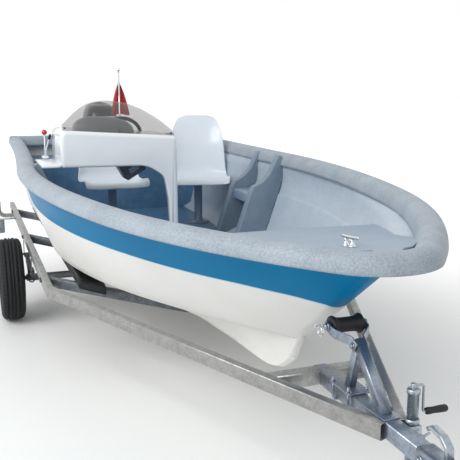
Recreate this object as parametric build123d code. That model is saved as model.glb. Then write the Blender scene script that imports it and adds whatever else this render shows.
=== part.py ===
"""Open speedboat on its single-axle trailer, with outboard, console and two seats.

Frame: +X to the bow, +Y to port, +Z up, millimetres. The ground is z = 0, the
centreline is y = 0 and x = 0 is midway between the coupling nose and the motor.
"""
from build123d import *
from math import atan2, cos, degrees, radians, sin, sqrt
import os

# ---------------------------------------------------------------- hull sizes
WALL = 10                    # hull laminate
TRANSOM_WALL = 15
TRANSOM_PAD = (340, 25)      # half-width and depth of the thicker part that carries the motor
# a level is a tilted plane (height at x = 0, rise per unit of x)
KEEL_LEVEL = (330, 0.0)
CHINE_LEVEL = (596, 0.014)
SHEER_LEVEL = (1150, -0.0115)
RAIL_DEPTH = 70              # height of the gunwale rail's skirts
RAIL_WALL = 8
RAIL_WIDTH = 118
RAIL_TRIM_X = 1850           # inner skirt is cut away ahead of this
# plan outlines: stem tip x, tip radius, tip turn, shoulder, widest place, transom corner
KEEL_PLAN = dict(tip=1500, radius=30, turn=86, shoulder=(700, 60), beam=(-600, 70), transom=(-2450, 74))
CHINE_PLAN = dict(tip=1890, radius=120, turn=58, shoulder=(1050, 468), beam=(-667, 738), transom=(-2480, 725))
HULL_PLAN = dict(tip=2530, radius=360, turn=55, shoulder=(1440, 725), beam=(-425, 930), transom=(-2560, 850))
RAIL_PLAN = dict(tip=2620, radius=393, turn=57, shoulder=(1425, 770), beam=(-425, 960), transom=(-2575, 880))

SOLE_Z = 540
SOLE_THICK = 15
DECK_THICK = 20
AFT_DECK_THICK = 12
FOREDECK_AFT = (1300, 960)   # x and height of its aft edge
FOREDECK_FRONT = (2450, 1104)
FOREDECK_LIP = 45
AFT_DECK_Z = 1000
AFT_DECK_FRONT_X = -2010
WELL_FRONT_X = -2105         # motor well
WELL_HALF = 290
WELL_FLOOR_Z = 800
CUTOUT_Z = 862               # transom top where the motor is clamped

RIB_XS = (-760, -380)        # pairs of side ribs
RIB_THICK = 70
RIB_TOP_REACH = 60           # from the hull side at the rail
RIB_STEP_Z = 926
RIB_STEP_REACH = 190
RIB_KNEE = (66, 32)           # from the step in and up to the knee
RIB_FOOT_REACH = 260
BOX_TOP_Z = 872              # block held between the ribs
BOX_HEIGHT = 72

# ------------------------------------------------------------- console sizes
CON_X = -325                 # front face
CON_DEPTH = 500
CON_Y = (-690, 80)           # starboard end, port end
CON_TOP = (1352, 1302)       # height at the two ends
CON_BOTTOM = 1112
CON_WALL = 15
LEG_WIDTH = 66
LEG_DEPTH = 210
ARCH_R = 110
SHELF_OUT_Y = -812
SHELF_THICK = 18
SCREEN_THICK = 5
SCREEN_TOP = 1528
SCREEN_RAKE = 150
WHEEL_CENTRE = (-905, -200, 1262)
WHEEL_DIA = 350
WHEEL_RIM_DIA = 26
WHEEL_TILT = 55              # rim plane from the horizontal
WHEEL_SHAFT = 320
SHAFT_DIA = 24
HOOD_SIZE = (190, 370, 72)
HOOD_BACK = 60               # from the front face
HOOD_IN = 110                # from the starboard end
HELM_HALF = 105
HELM_LOW = 1040

# --------------------------------------------------------------- seat sizes
SEATS = dict(driver=(-1225, -200, 0), passenger=(-1215, 498, -15))   # x, y, turn on the post
SEAT_PAN_Z = 880
SEAT_WIDTH = 480
SEAT_DEPTH = 430
SEAT_SHELL = 14
SEAT_BACK_TOP = 1385
SEAT_BACK_LEAN = 110
SEAT_TAPER = (66, 235)        # in from each side, down from the back's top
SEAT_POST_DIA = 60
SEAT_POST_WALL = 3
SEAT_FOOT_DIA = 170

BOW_EYE = (1985, 705)        # on the stem, as (x, z)
STAFF_TOP = 1780
STAFF_DIA = 14

# ------------------------------------------------------------- trailer sizes
TYRE_DIA = 580
TYRE_WIDTH = 160
RIM_DIA = 336
WHEEL_X = -821
WHEEL_Y = 1012
FRAME_TOP = 555
BEAM_W = 40
BEAM_H = 60
BEAM_WALL = 3
BEAM_OUT_Y = 895             # outer face of the parallel part
BEAM_AFT_X = -2700
PAST_STERN = -2750           # blanks cut to the hull start here
PAST_SIDE = 950
BEAM_BEND_X = 465
BEAM_END_X = 2530
BEAM_END_IN = 4              # centre line of the beam's end from the drawbar's side
DRAWBAR_W = 60
DRAWBAR_END_X = 2800
CROSS_X = 2055               # front face of the front cross-member
CROSS_MEMBER_XS = (-2320, -1130, 190)
VEE_SECTION = (60, 55)       # width along x, height
VEE_SEAT = 15                # below the beams' top at the ends
VEE_DROP = 248               # from the ends to the middle
AXLE_DIA = 50
SPRING_HALF = 340
SPRING_LEAF = 7
SPRING_RISE = 62
SPINDLE_DIA = 30
BUNK_Y = (560, 712)
BUNK_X = (-2450, 430)
BUNK_THICK = 34
KEEL_PAD = (120, 90)         # along x, along y
REAR_TUBE_DIA = 38
REAR_TUBE_X = -2420
REAR_TUBE_CLEAR = 22         # under the keel
REAR_TUBE_REACH = 115        # past the beams' outer faces
REAR_TUBE_RISE = 130
REAR_TUBE_BEND = 70

POST_FOOT_X = 2458
POST_TUBE = 38
POST_BACK = 80               # post's head ahead of the roller
ARM_THICK = 6
ROLLER_CENTRE = (2190, 0, 780)
ROLLER_LENGTH = 126
ROLLER_FLANGE_DIA = 75
ROLLER_BODY_DIA = 56
ROLLER_BORE = 17
ROLLER_PIN = 16

JOCKEY_X = 2556
JOCKEY_Y = 54
JOCKEY_TUBE_DIA = 38
JOCKEY_TUBE_WALL = 3
JOCKEY_TOP = 672
JOCKEY_TUBE_LOW = 392
JOCKEY_WHEEL_DIA = 160
JOCKEY_WHEEL_W = 50
JOCKEY_TRAIL = 60
JOCKEY_FORK = 5
JOCKEY_SWIVEL_TOP = 30       # above the wheel
JOCKEY_LAP = 70              # leg inside the outer tube when down

COUPLING_NOSE_X = 3020
SLIDE_GAP = 0.5              # running clearance of sliding and turning fits

# -------------------------------------------------------------- motor sizes
TILT_AXIS = (-2610, 930)     # x, z
STEER_X = -2690
COWL_SIZE = (405, 330, 440)
COWL_TOP = 1465
COWL_AFT_X = -3005
COWL_WALL = 5
ENGINE_SIZE = (230, 190, 260)
LEG_SIZE = (150, 70)
PROP_Z = 195
PROP_DIA = 250
GEARCASE_DIA = 96
PROP_SHAFT_DIA = 16


# ------------------------------------------------------------------ helpers
def box(x0, x1, y0, y1, z0, z1):
    """Box between two corners."""
    return Pos((x0 + x1) / 2, (y0 + y1) / 2, (z0 + z1) / 2) * Box(abs(x1 - x0), abs(y1 - y0), abs(z1 - z0))


def rod(a, b, diameter):
    """Round bar from point a to point b."""
    a, b = Vector(*a), Vector(*b)
    return Plane(origin=a, z_dir=b - a) * Cylinder(
        diameter / 2, (b - a).length, align=(Align.CENTER, Align.CENTER, Align.MIN))


def prism_y(points, y0, y1):
    """Side-view polygon of (x, z) points, between two y."""
    face = make_face(Polyline(*[(x, y0, z) for x, z in points], close=True))
    return extrude(face, amount=y1 - y0, dir=(0, 1, 0))


def prism_x(points, x0, x1):
    """Front-view polygon of (y, z) points, between two x."""
    face = make_face(Polyline(*[(x0, y, z) for y, z in points], close=True))
    return extrude(face, amount=x1 - x0, dir=(1, 0, 0))


def prism_z(points, z0, z1):
    """Plan polygon of (x, y) points, between two z."""
    face = make_face(Polyline(*[(x, y, z0) for x, y in points], close=True))
    return extrude(face, amount=z1 - z0, dir=(0, 0, 1))


def bar(points, width, thick):
    """Flat or square bar along a route, mitred at its corners."""
    path = Polyline(*points)
    section = Plane(origin=path @ 0, z_dir=path % 0) * Rectangle(width, thick)
    return sweep(section, path=path, transition=Transition.RIGHT)


def both(solid):
    """The solid and its mirror image across the centreline."""
    return [solid, mirror(solid, about=Plane.XZ)]


def height(level, x):
    """Height of a tilted level at x."""
    return level[0] + level[1] * x


def plan_face(plan, level, inset=0, transom_inset=None):
    """Plan outline of the boat as a face: four tangent arcs a side and the transom."""
    transom_inset = inset if transom_inset is None else transom_inset
    turn = radians(plan["turn"])
    tip, radius = plan["tip"], plan["radius"]
    points = [Vector(tip, 0), Vector(tip - radius * (1 - cos(turn)), radius * sin(turn))]
    points += [Vector(*plan[key]) for key in ("shoulder", "beam", "transom")]
    headings = [Vector(0, 1)]
    for start, end in zip(points[:-1], points[1:]):
        headings.append((TangentArc(start, end, tangent=headings[-1]) % 1).normalized())
    inside = [p + Vector(-h.Y, h.X) * inset for p, h in zip(points, headings)]
    inside[-1] = inside[-1] - headings[-1] * (transom_inset / abs(headings[-1].X))
    edges = [TangentArc(start, end, tangent=h) for start, end, h in zip(inside[:-1], inside[1:], headings)]
    edges += [mirror(edge, about=Plane.XZ) for edge in edges]
    edges.append(Line(inside[-1], (inside[-1].X, -inside[-1].Y)))
    plane = Plane(origin=(0, 0, level[0]), x_dir=(1, 0, level[1]), z_dir=(-level[1], 0, 1))
    return plane * make_face(edges)


def stack(*faces):
    """Ruled solid through plan faces, lowest first."""
    solid = loft([faces[0], faces[1]], ruled=True)
    for low, high in zip(faces[1:-1], faces[2:]):
        solid = solid + loft([low, high], ruled=True)
    return solid


def lowered(level, drop):
    return (level[0] - drop, level[1])


# --------------------------------------------------------------------- boat
def hull_outer():
    top = lowered(SHEER_LEVEL, RAIL_WALL)
    return stack(plan_face(KEEL_PLAN, KEEL_LEVEL), plan_face(CHINE_PLAN, CHINE_LEVEL), plan_face(HULL_PLAN, top))


def hull_inner():
    top = lowered(SHEER_LEVEL, RAIL_WALL)
    return stack(
        plan_face(KEEL_PLAN, lowered(KEEL_LEVEL, -WALL), WALL, TRANSOM_WALL),
        plan_face(CHINE_PLAN, lowered(CHINE_LEVEL, -WALL), WALL, TRANSOM_WALL),
        plan_face(HULL_PLAN, top, WALL, TRANSOM_WALL),
    )


def rail_block():
    """Gunwale rail filled in, with the boat's opening through it."""
    low = lowered(SHEER_LEVEL, RAIL_DEPTH)
    outer = stack(plan_face(RAIL_PLAN, low), plan_face(RAIL_PLAN, SHEER_LEVEL, 6))
    hole = stack(
        plan_face(RAIL_PLAN, lowered(SHEER_LEVEL, RAIL_DEPTH + 5), RAIL_WIDTH),
        plan_face(RAIL_PLAN, lowered(SHEER_LEVEL, -5), RAIL_WIDTH),
    )
    return outer - hole


def rail_cavity():
    """Hollow under the rail, open below."""
    under = lowered(SHEER_LEVEL, RAIL_DEPTH + 5)
    roof = lowered(SHEER_LEVEL, RAIL_WALL)
    outer = stack(plan_face(RAIL_PLAN, under, RAIL_WALL), plan_face(RAIL_PLAN, roof, RAIL_WALL + 6))
    core = stack(
        plan_face(RAIL_PLAN, lowered(under, 5), RAIL_WIDTH - RAIL_WALL),
        plan_face(RAIL_PLAN, lowered(roof, -5), RAIL_WIDTH - RAIL_WALL),
    )
    return outer - core


def gunwale_rail(block, hull):
    """Rail moulding; its inner skirt ends where the flared bow reaches it."""
    bow = box(RAIL_TRIM_X, RAIL_PLAN["tip"], -1000, 1000, 0, 2000)
    return block - rail_cavity() - cutout() - (hull & bow)


def cutout():
    """Notch in the transom for the motor."""
    return box(PAST_STERN, WELL_FRONT_X - 150, -WELL_HALF, WELL_HALF, CUTOUT_Z, CUTOUT_Z + 540)


def foredeck(inner, rail):
    x0, z0 = FOREDECK_AFT
    x1, z1 = FOREDECK_FRONT
    deck = prism_y([(x0, z0), (x1, z1), (x1 + 100, z1), (x1 + 100, z1 - DECK_THICK), (x1, z1 - DECK_THICK),
                    (x0 + DECK_THICK, z0 - DECK_THICK), (x0 + DECK_THICK, z0 - FOREDECK_LIP),
                    (x0, z0 - FOREDECK_LIP)], -1000, 1000)
    return (deck & inner) - rail


def sole(inner):
    return box(PAST_STERN, -PAST_STERN, -PAST_SIDE, PAST_SIDE, SOLE_Z - SOLE_THICK, SOLE_Z) & inner


def transom_pad(inner):
    """Cored middle of the transom, thick enough for the motor's clamps."""
    half, depth = TRANSOM_PAD
    lean = TRANSOM_WALL + depth
    blank = prism_y([(transom_x(z) + x, z) for x, z in
                     ((0, SOLE_Z), (lean, SOLE_Z), (lean, CUTOUT_Z), (0, CUTOUT_Z))], -half, half)
    return blank & inner


def aft_deck(inner):
    t = AFT_DECK_THICK
    top = box(PAST_STERN, AFT_DECK_FRONT_X, -PAST_SIDE, PAST_SIDE, AFT_DECK_Z - t, AFT_DECK_Z)
    front = box(AFT_DECK_FRONT_X - t, AFT_DECK_FRONT_X, -PAST_SIDE, PAST_SIDE, SOLE_Z, AFT_DECK_Z)
    tray = box(PAST_STERN, WELL_FRONT_X + t, -WELL_HALF - t, WELL_HALF + t, WELL_FLOOR_Z - t, AFT_DECK_Z)
    hole = box(2 * PAST_STERN, WELL_FRONT_X, -WELL_HALF, WELL_HALF, WELL_FLOOR_Z, AFT_DECK_Z + WELL_HALF)
    return ((top + front + tray) - hole) & inner


def side_ribs(inner, rail, side):
    """Two ribs on one side with the block that they hold between them."""
    half = RIB_THICK / 2
    out = 960
    y_top = 900 - RIB_TOP_REACH
    y_step = 830 - RIB_STEP_REACH
    y_knee, z_knee = y_step + RIB_KNEE[0], RIB_STEP_Z + RIB_KNEE[1]
    y_foot = 760 - RIB_FOOT_REACH
    profile = [(out, 1150), (y_top, 1150), (y_knee + 60, z_knee + 62), (y_knee, z_knee), (y_step, RIB_STEP_Z),
               (y_foot, SOLE_Z), (out, SOLE_Z)]
    solid = None
    for x in RIB_XS:
        rib = prism_x(profile, x - half, x + half)
        solid = rib if solid is None else solid + rib
    shelf = prism_x([(out, BOX_TOP_Z), (y_step - 20, BOX_TOP_Z), (y_step - 20, BOX_TOP_Z - BOX_HEIGHT),
                     (out, BOX_TOP_Z - BOX_HEIGHT)], RIB_XS[0] + half, RIB_XS[1] - half)
    solid = ((solid + shelf) & inner) - rail
    return solid if side > 0 else mirror(solid, about=Plane.XZ)


# ------------------------------------------------------------------ console
def console_top(y):
    """Height of the console's top at y."""
    share = (y - CON_Y[0]) / (CON_Y[1] - CON_Y[0])
    return CON_TOP[0] + share * (CON_TOP[1] - CON_TOP[0])


def console_body():
    y0, y1 = CON_Y
    t = CON_WALL
    x1, x0 = CON_X, CON_X - CON_DEPTH
    outside = [(y0, CON_BOTTOM), (y0, CON_TOP[0]), (y1, CON_TOP[1]), (y1, SOLE_Z), (y1 - LEG_WIDTH, SOLE_Z),
               (y1 - LEG_WIDTH, CON_BOTTOM)]
    shell = prism_x(outside, x0, x1)
    hollow = prism_x(under_console_top(y0 + t, y1 - t, SOLE_Z - 100), x0 - 50, x1 - t)
    shell = shell - hollow
    arch_y = y1 - LEG_WIDTH - ARCH_R
    corner = box(x1 - t, x1, arch_y, y1 - LEG_WIDTH, CON_BOTTOM - ARCH_R, CON_BOTTOM)
    corner = corner - Pos(x1, arch_y, CON_BOTTOM - ARCH_R) * Rot(0, 90, 0) * Cylinder(ARCH_R, 200)
    leg_back = box(x0 - 10, x1 - LEG_DEPTH, y1 - LEG_WIDTH - 10, y1 + 10, SOLE_Z - 10, CON_BOTTOM - 60)
    return (shell + corner) - leg_back


def console_shelf():
    y0 = CON_Y[0]
    return box(CON_X - CON_DEPTH, CON_X - 20, SHELF_OUT_Y, y0, CON_BOTTOM, CON_BOTTOM + SHELF_THICK)


def windscreen():
    """Raked screen with a curved upper edge."""
    y0, y1 = CON_Y[0] + 20, CON_Y[1] - 12
    front = CON_X - 12
    z0, z1 = console_top(y0), console_top(y1)
    panel = make_face([
        Line((front, y0, z0), (front, y1, z1)),
        ThreePointArc((front, y1, z1), (front, (y0 + y1) / 2 + 60, SCREEN_TOP), (front, y0, z0 + 30)),
        Line((front, y0, z0 + 30), (front, y0, z0)),
    ])
    sheet = extrude(panel, amount=SCREEN_THICK, dir=(-1, 0, 0))
    rake = degrees(atan2(SCREEN_RAKE, SCREEN_TOP - z0))
    leaning = Pos(front, 0, z0) * Rot(0, -rake, 0) * Pos(-front, 0, -z0) * sheet
    below = prism_x([(y0 - 50, console_top(y0 - 50)), (y1 + 50, console_top(y1 + 50)), (y1 + 50, 1000),
                     (y0 - 50, 1000)], CON_X - CON_DEPTH, CON_X + 50)
    return leaning - below


def under_console_top(y0, y1, low):
    """Front-view outline from the console top's underside down to a height."""
    t = CON_WALL
    return [(y0, low), (y0, console_top(y0) - t), (y1, console_top(y1) - t), (y1, low)]


def dash_hood():
    """Low instrument hood on the console's top."""
    length, width, tall = HOOD_SIZE
    x, y = CON_X - HOOD_BACK, CON_Y[0] + HOOD_IN
    blank = box(x - length, x, y, y + width, CON_TOP[1] - 30, console_top(y) + tall)
    blank = fillet(blank.faces().sort_by(Axis.Z)[-1].edges(), tall * 0.8)
    below = prism_x([(y - 50, console_top(y - 50)), (y + width + 50, console_top(y + width + 50)),
                     (y + width + 50, CON_TOP[1] - 200), (y - 50, CON_TOP[1] - 200)], x - length - 50, x + 50)
    return blank - below


def helm_box():
    """Steering gear's box under the console's top, bored for the wheel's shaft."""
    x0, x1 = CON_X - CON_DEPTH + 100, CON_X - 90
    y = WHEEL_CENTRE[1]
    blank = prism_x(under_console_top(y - HELM_HALF, y + HELM_HALF, HELM_LOW), x0, x1)
    return blank - wheel_place() * Pos(0, 0, -WHEEL_SHAFT / 2) * Cylinder(
        SHAFT_DIA / 2 + SLIDE_GAP, WHEEL_SHAFT + 10)


def wheel_place():
    return Pos(*WHEEL_CENTRE) * Rot(0, -WHEEL_TILT, 0)


# -------------------------------------------------------------------- seats
def seat_shell(x, y, turn):
    """Moulded seat: a pan and a back in one bent shell."""
    half = SEAT_DEPTH / 2
    t = SEAT_SHELL
    z = SEAT_PAN_Z
    top = SEAT_BACK_TOP
    lean = SEAT_BACK_LEAN
    profile = [(half, z - 20), (half, z + 8), (70 - half, z), (20 - half, z + 60), (-half - lean, top),
               (-half - lean - t, top), (20 - half - t, z + 50), (60 - half, z - t), (half - t, z - t),
               (half - t, z - 20)]
    w, (slope_in, slope_down) = SEAT_WIDTH / 2, SEAT_TAPER
    front_view = prism_x([(-w, z - 100), (w, z - 100), (w, top - slope_down), (w - slope_in, top),
                          (slope_in - w, top), (-w, top - slope_down)], -2 * half, 2 * half)
    return Pos(x, y, 0) * Rot(0, 0, turn) * (prism_y(profile, -w, w) & front_view)


def seat_post(x, y, turn):
    low = rod((x, y, SOLE_Z), (x, y, SOLE_Z + 10), SEAT_FOOT_DIA)
    under = SEAT_PAN_Z - SEAT_SHELL
    stem = rod((x, y, SOLE_Z + 10), (x, y, under - 8), SEAT_POST_DIA)
    stem = stem - rod((x, y, SOLE_Z + 10), (x, y, under - 8), SEAT_POST_DIA - 2 * SEAT_POST_WALL)
    plate = Pos(x, y, 0) * Rot(0, 0, turn) * box(-100, 90, -100, 100, under - 8, under)
    return low + stem + plate


# ------------------------------------------------------------------ trailer
def beam_lines(grow=0):
    """Centre-plan outline of one side beam: outer side out, inner side back."""
    half = BEAM_W / 2
    end_y = DRAWBAR_W / 2 + BEAM_END_IN
    centre = [(BEAM_AFT_X, BEAM_OUT_Y - half), (BEAM_BEND_X, BEAM_OUT_Y - half), (BEAM_END_X, end_y)]
    slope = atan2(centre[1][1] - centre[2][1], centre[2][0] - centre[1][0])
    w = half - grow
    outer = [(BEAM_AFT_X, centre[0][1] + w), (BEAM_BEND_X + w * sin(slope) / (1 + cos(slope)), centre[1][1] + w),
             (BEAM_END_X, end_y + w / cos(slope))]
    inner = [(BEAM_END_X, end_y - w / cos(slope)),
             (BEAM_BEND_X - w * sin(slope) / (1 + cos(slope)), centre[1][1] - w), (BEAM_AFT_X, centre[0][1] - w)]
    return outer + inner


def side_beam():
    z0 = FRAME_TOP - BEAM_H
    tube = prism_z(beam_lines(), z0, FRAME_TOP)
    hollow = prism_z(beam_lines(BEAM_WALL), z0 + BEAM_WALL, FRAME_TOP - BEAM_WALL)
    keep = box(-3000, 3000, DRAWBAR_W / 2, 2000, 0, 900)
    return (tube - hollow) & keep


def drawbar():
    tube = box(CROSS_X - BEAM_H, DRAWBAR_END_X, -DRAWBAR_W / 2, DRAWBAR_W / 2, FRAME_TOP - BEAM_H, FRAME_TOP)
    w = DRAWBAR_W / 2 - BEAM_WALL
    z0, z1 = FRAME_TOP - BEAM_H + BEAM_WALL, FRAME_TOP - BEAM_WALL
    return tube - box(CROSS_X - BEAM_H - 10, DRAWBAR_END_X + 10, -w, w, z0, z1)


def beam_inner_y(x):
    """Inner face of the converging beam at x."""
    (x1, y1), (x0, y0) = beam_lines()[3:5]
    return y1 + (x1 - x) * (y0 - y1) / (x1 - x0)


def front_cross_member():
    """Flat tube between the converging beams, cut round the drawbar."""
    x0, x1 = CROSS_X - BEAM_H, CROSS_X
    z0 = FRAME_TOP - BEAM_H
    y0, y1 = beam_inner_y(x0), beam_inner_y(x1)
    inside = DRAWBAR_W / 2
    half = prism_z([(x0, inside), (x0, y0), (x1, y1), (x1, inside)], z0, FRAME_TOP)
    t = BEAM_WALL
    core = box(x0 + t, x1 - t, inside - 1, y0 + 10, z0 + t, FRAME_TOP - t)
    return both(half - core)


def vee_top(y):
    """Height of a vee cross-member's top at y."""
    high = FRAME_TOP - VEE_SEAT
    share = abs(y) / (BEAM_OUT_Y - BEAM_W)
    return high - VEE_DROP * (1 - share)


def vee_member(x):
    y = BEAM_OUT_Y - BEAM_W
    w, h = VEE_SECTION
    points = [(-y, vee_top(y)), (0, vee_top(0)), (y, vee_top(y)), (y, vee_top(y) - h), (0, vee_top(0) - h),
              (-y, vee_top(y) - h)]
    t = BEAM_WALL
    inside = [(-y - 1, vee_top(y) - t), (0, vee_top(0) - t), (y + 1, vee_top(y) - t), (y + 1, vee_top(y) - h + t),
              (0, vee_top(0) - h + t), (-y - 1, vee_top(y) - h + t)]
    return prism_x(points, x - w / 2, x + w / 2) - prism_x(inside, x - w / 2 + t, x + w / 2 - t)


def bunk(hull):
    """Board under the bilge, cut to the hull's own bottom."""
    y0, y1 = BUNK_Y
    x0, x1 = BUNK_X
    blank = box(x0, x1, y0, y1, 380, 700) - hull
    blank = blank.solids().sort_by(Axis.Z)[0]
    under = prism_x([(y, bottom_height(x0, y) - BUNK_THICK) for y in (y0, y1)] + [(y1, 300), (y0, 300)], x0, x1)
    return blank - under


def bottom_height(x, y):
    """Height of the vee bottom at a place where chine and keel run nearly straight."""
    keel = (KEEL_PLAN["beam"][1], KEEL_LEVEL[0])
    chine = (CHINE_PLAN["beam"][1], height(CHINE_LEVEL, x))
    share = (y - keel[0]) / (chine[0] - keel[0])
    return keel[1] + share * (chine[1] - keel[1])


def bunk_blocks(bunk_solid):
    """Blocks on the vee members, up to the bunks."""
    y0, y1 = BUNK_Y
    w = VEE_SECTION[0] / 2
    blocks = []
    for x in CROSS_MEMBER_XS:
        points = [(y0 + 20, vee_top(y0 + 20)), (y1 - 20, vee_top(y1 - 20)), (y1 - 20, 640), (y0 + 20, 640)]
        block = prism_x(points, x - w, x + w) - bunk_solid
        blocks += both(block.solids().sort_by(Axis.Z)[0])
    return blocks


def keel_pads():
    length, width = KEEL_PAD
    w = width / 2
    pads = []
    for x in CROSS_MEMBER_XS:
        points = [(-w, vee_top(w)), (0, vee_top(0)), (w, vee_top(w)), (w, KEEL_LEVEL[0]), (-w, KEEL_LEVEL[0])]
        pads.append(prism_x(points, x - VEE_SECTION[0] / 2, x + VEE_SECTION[0] / 2))
    return pads


def axle():
    y = WHEEL_Y - TYRE_WIDTH / 2 - 25
    z = TYRE_DIA / 2
    tube = rod((WHEEL_X, -y, z), (WHEEL_X, y, z), AXLE_DIA)
    return tube + rod((WHEEL_X, -WHEEL_Y - 10, z), (WHEEL_X, WHEEL_Y + 10, z), SPINDLE_DIA)


def leaf_profile(base):
    """Side outline of three stacked leaves of equal thickness on one parabola, stepped below."""
    under = [(0, 0)]
    above = [(0, 3 * SPRING_LEAF)]
    for count, share in enumerate((0.45, 0.72, 1.0)):
        half = SPRING_HALF * share
        lift = SPRING_RISE * share * share
        under += [(half, lift + count * SPRING_LEAF), (half, lift + (count + 1) * SPRING_LEAF)]
        above.append((half, lift + 3 * SPRING_LEAF))
    right = under + above[-2::-1]
    left = [(-x, z) for x, z in reversed(right[1:-1])]
    return [(WHEEL_X + x, base + z) for x, z in right + left]


def leaf_spring():
    """Leaf pack on the axle with its hangers up to the beam."""
    y = BEAM_OUT_Y - BEAM_W / 2
    z = TYRE_DIA / 2 + AXLE_DIA / 2
    w = BEAM_W / 2
    pack = prism_y(leaf_profile(z), y - w + 4, y + w - 4)
    pad = box(WHEEL_X - 45, WHEEL_X + 45, y - w, y + w, z - 6, z + 2) - rod(
        (WHEEL_X, y - 60, TYRE_DIA / 2), (WHEEL_X, y + 60, TYRE_DIA / 2), AXLE_DIA)
    pack = pack + pad
    low = z + SPRING_RISE + 2 * SPRING_LEAF
    for sign in (-1, 1):
        x = WHEEL_X + sign * (SPRING_HALF - 18)
        pack = pack + box(x - 22, x + 22, y - w, y + w, low - 16, FRAME_TOP - BEAM_H)
    return pack


def tyre(y):
    r, w, inner = TYRE_DIA / 2, TYRE_WIDTH / 2, RIM_DIA / 2
    z = TYRE_DIA / 2
    half = Polyline((inner, -w + 18), (inner + 30, -w), (r - 40, -w), (r - 9, -w + 22), (r, -w + 42), (r, w - 42),
                    (r - 9, w - 22), (r - 40, w), (inner + 30, w), (inner, w - 18), close=True)
    ring = revolve(Plane.XY * make_face(half), axis=Axis.Y)
    return Pos(WHEEL_X, y, z) * ring


def rim(y, side):
    """Steel rim with its disc and hub."""
    r, w = RIM_DIA / 2, TYRE_WIDTH / 2 - 18
    drum = revolve(make_face(Polyline((r - 22, -w), (r, -w), (r, w), (r - 22, w), (r - 22, w - 12), (r - 12, w - 12),
                                      (r - 12, -w + 12), (r - 22, -w + 12), close=True)), axis=Axis.Y)
    face = 12 * side
    disc = rod((0, face - 4, 0), (0, face + 4, 0), 2 * (r - 11))
    hub = rod((0, -42 * side, 0), (0, 46 * side, 0), 80)
    bore = rod((0, -60 * side, 0), (0, 12 * side, 0), SPINDLE_DIA + 2 * SLIDE_GAP)
    return Pos(WHEEL_X, y, TYRE_DIA / 2) * (drum + disc + hub - bore)


def rear_tube():
    """Bent tube across the back of the frame: a vee below the keel and upturned ends."""
    y, z = BEAM_OUT_Y + REAR_TUBE_REACH, FRAME_TOP - BEAM_H - REAR_TUBE_DIA / 2
    low = KEEL_LEVEL[0] - REAR_TUBE_DIA / 2 - REAR_TUBE_CLEAR
    side = [(REAR_TUBE_X, y, z + REAR_TUBE_RISE), (REAR_TUBE_X, y, z), (REAR_TUBE_X, BEAM_OUT_Y - BEAM_W, z)]
    points = [(px, -py, pz) for px, py, pz in side] + [(REAR_TUBE_X, 0, low)] + side[::-1]
    room = min(0.6 * (REAR_TUBE_REACH + BEAM_W), 0.9 * REAR_TUBE_RISE)
    path = FilletPolyline(*points, radius=min(REAR_TUBE_BEND, room))
    end = Plane(origin=path @ 0, z_dir=path % 0)
    section = end * (Circle(REAR_TUBE_DIA / 2) - Circle(REAR_TUBE_DIA / 2 - BEAM_WALL))
    return sweep(section, path=path)


def lamp_bracket():
    """Flat bar out from the beam, with the blank lamp plate hung on it."""
    x = -1990
    strip = box(x, x + 50, BEAM_OUT_Y, 1100, 520, 526)
    plate = box(x + 8, x + 14, 985, 1100, 400, 520)
    return strip + plate


def post_head():
    """Lower corner of the post's head, as (x, z)."""
    return ROLLER_CENTRE[0] + POST_BACK, ROLLER_CENTRE[2] - 30


def bow_post():
    """Leaning post, its upright strut and the clamp plate on the drawbar."""
    w = POST_TUBE / 2
    head_x, head_z = post_head()
    foot = POST_FOOT_X
    post = prism_y([(foot, FRAME_TOP), (foot + POST_TUBE, FRAME_TOP), (head_x + POST_TUBE, head_z),
                    (head_x, head_z)], -w, w)
    strut = prism_y([(head_x - 50, FRAME_TOP), (head_x - 16, FRAME_TOP), (head_x + 40, head_z - 25),
                     (head_x + 8, head_z - 5)], -w + 4, w - 4)
    half = DRAWBAR_W / 2
    clamp = box(head_x - 110, head_x + 40, -half, half, FRAME_TOP, FRAME_TOP + 8)
    return post + strut + clamp


def roller_arms():
    """Two cheek arms from the post's head to the roller, with the roller's pin."""
    rx, ry, rz = ROLLER_CENTRE
    gap = ROLLER_LENGTH / 2 + 5
    w = POST_TUBE / 2
    t = ARM_THICK
    head_x, head_z = post_head()
    knee = rx + ROLLER_FLANGE_DIA / 2 + 6
    arms = rod((rx, -gap - t - 4, rz), (rx, gap + t + 4, rz), ROLLER_PIN)
    for side in (-1, 1):
        plan = [(rx - 16, gap), (knee, gap), (head_x + 8, w), (head_x + 30, w), (head_x + 30, w + t),
                (head_x + 8, w + t), (knee + 2, gap + t), (rx - 16, gap + t)]
        cheek = prism_z([(x, side * y) for x, y in plan], 500, 900)
        band = prism_y([(rx - 16, rz - 16), (rx - 16, rz + 16), (rx + 16, rz + 16), (head_x + 30, head_z - 6),
                        (head_x + 30, head_z - 40), (head_x + 8, head_z - 40)], -200, 200)
        arms = arms + (cheek & band)
    return arms


def bow_roller():
    rx, ry, rz = ROLLER_CENTRE
    half = ROLLER_LENGTH / 2
    profile = [(ROLLER_BORE / 2, -half), (ROLLER_FLANGE_DIA / 2, -half), (ROLLER_FLANGE_DIA / 2, -half + 14),
               (ROLLER_BODY_DIA / 2, -half + 30), (ROLLER_BODY_DIA / 2, half - 30),
               (ROLLER_FLANGE_DIA / 2, half - 14), (ROLLER_FLANGE_DIA / 2, half), (ROLLER_BORE / 2, half)]
    return Pos(rx, ry, rz) * revolve(make_face(Polyline(*profile, close=True)), axis=Axis.Y)


# ------------------------------------------------------------- jockey wheel
def jockey_inner_dia():
    return JOCKEY_TUBE_DIA - 2 * JOCKEY_TUBE_WALL - 2 * SLIDE_GAP


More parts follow.
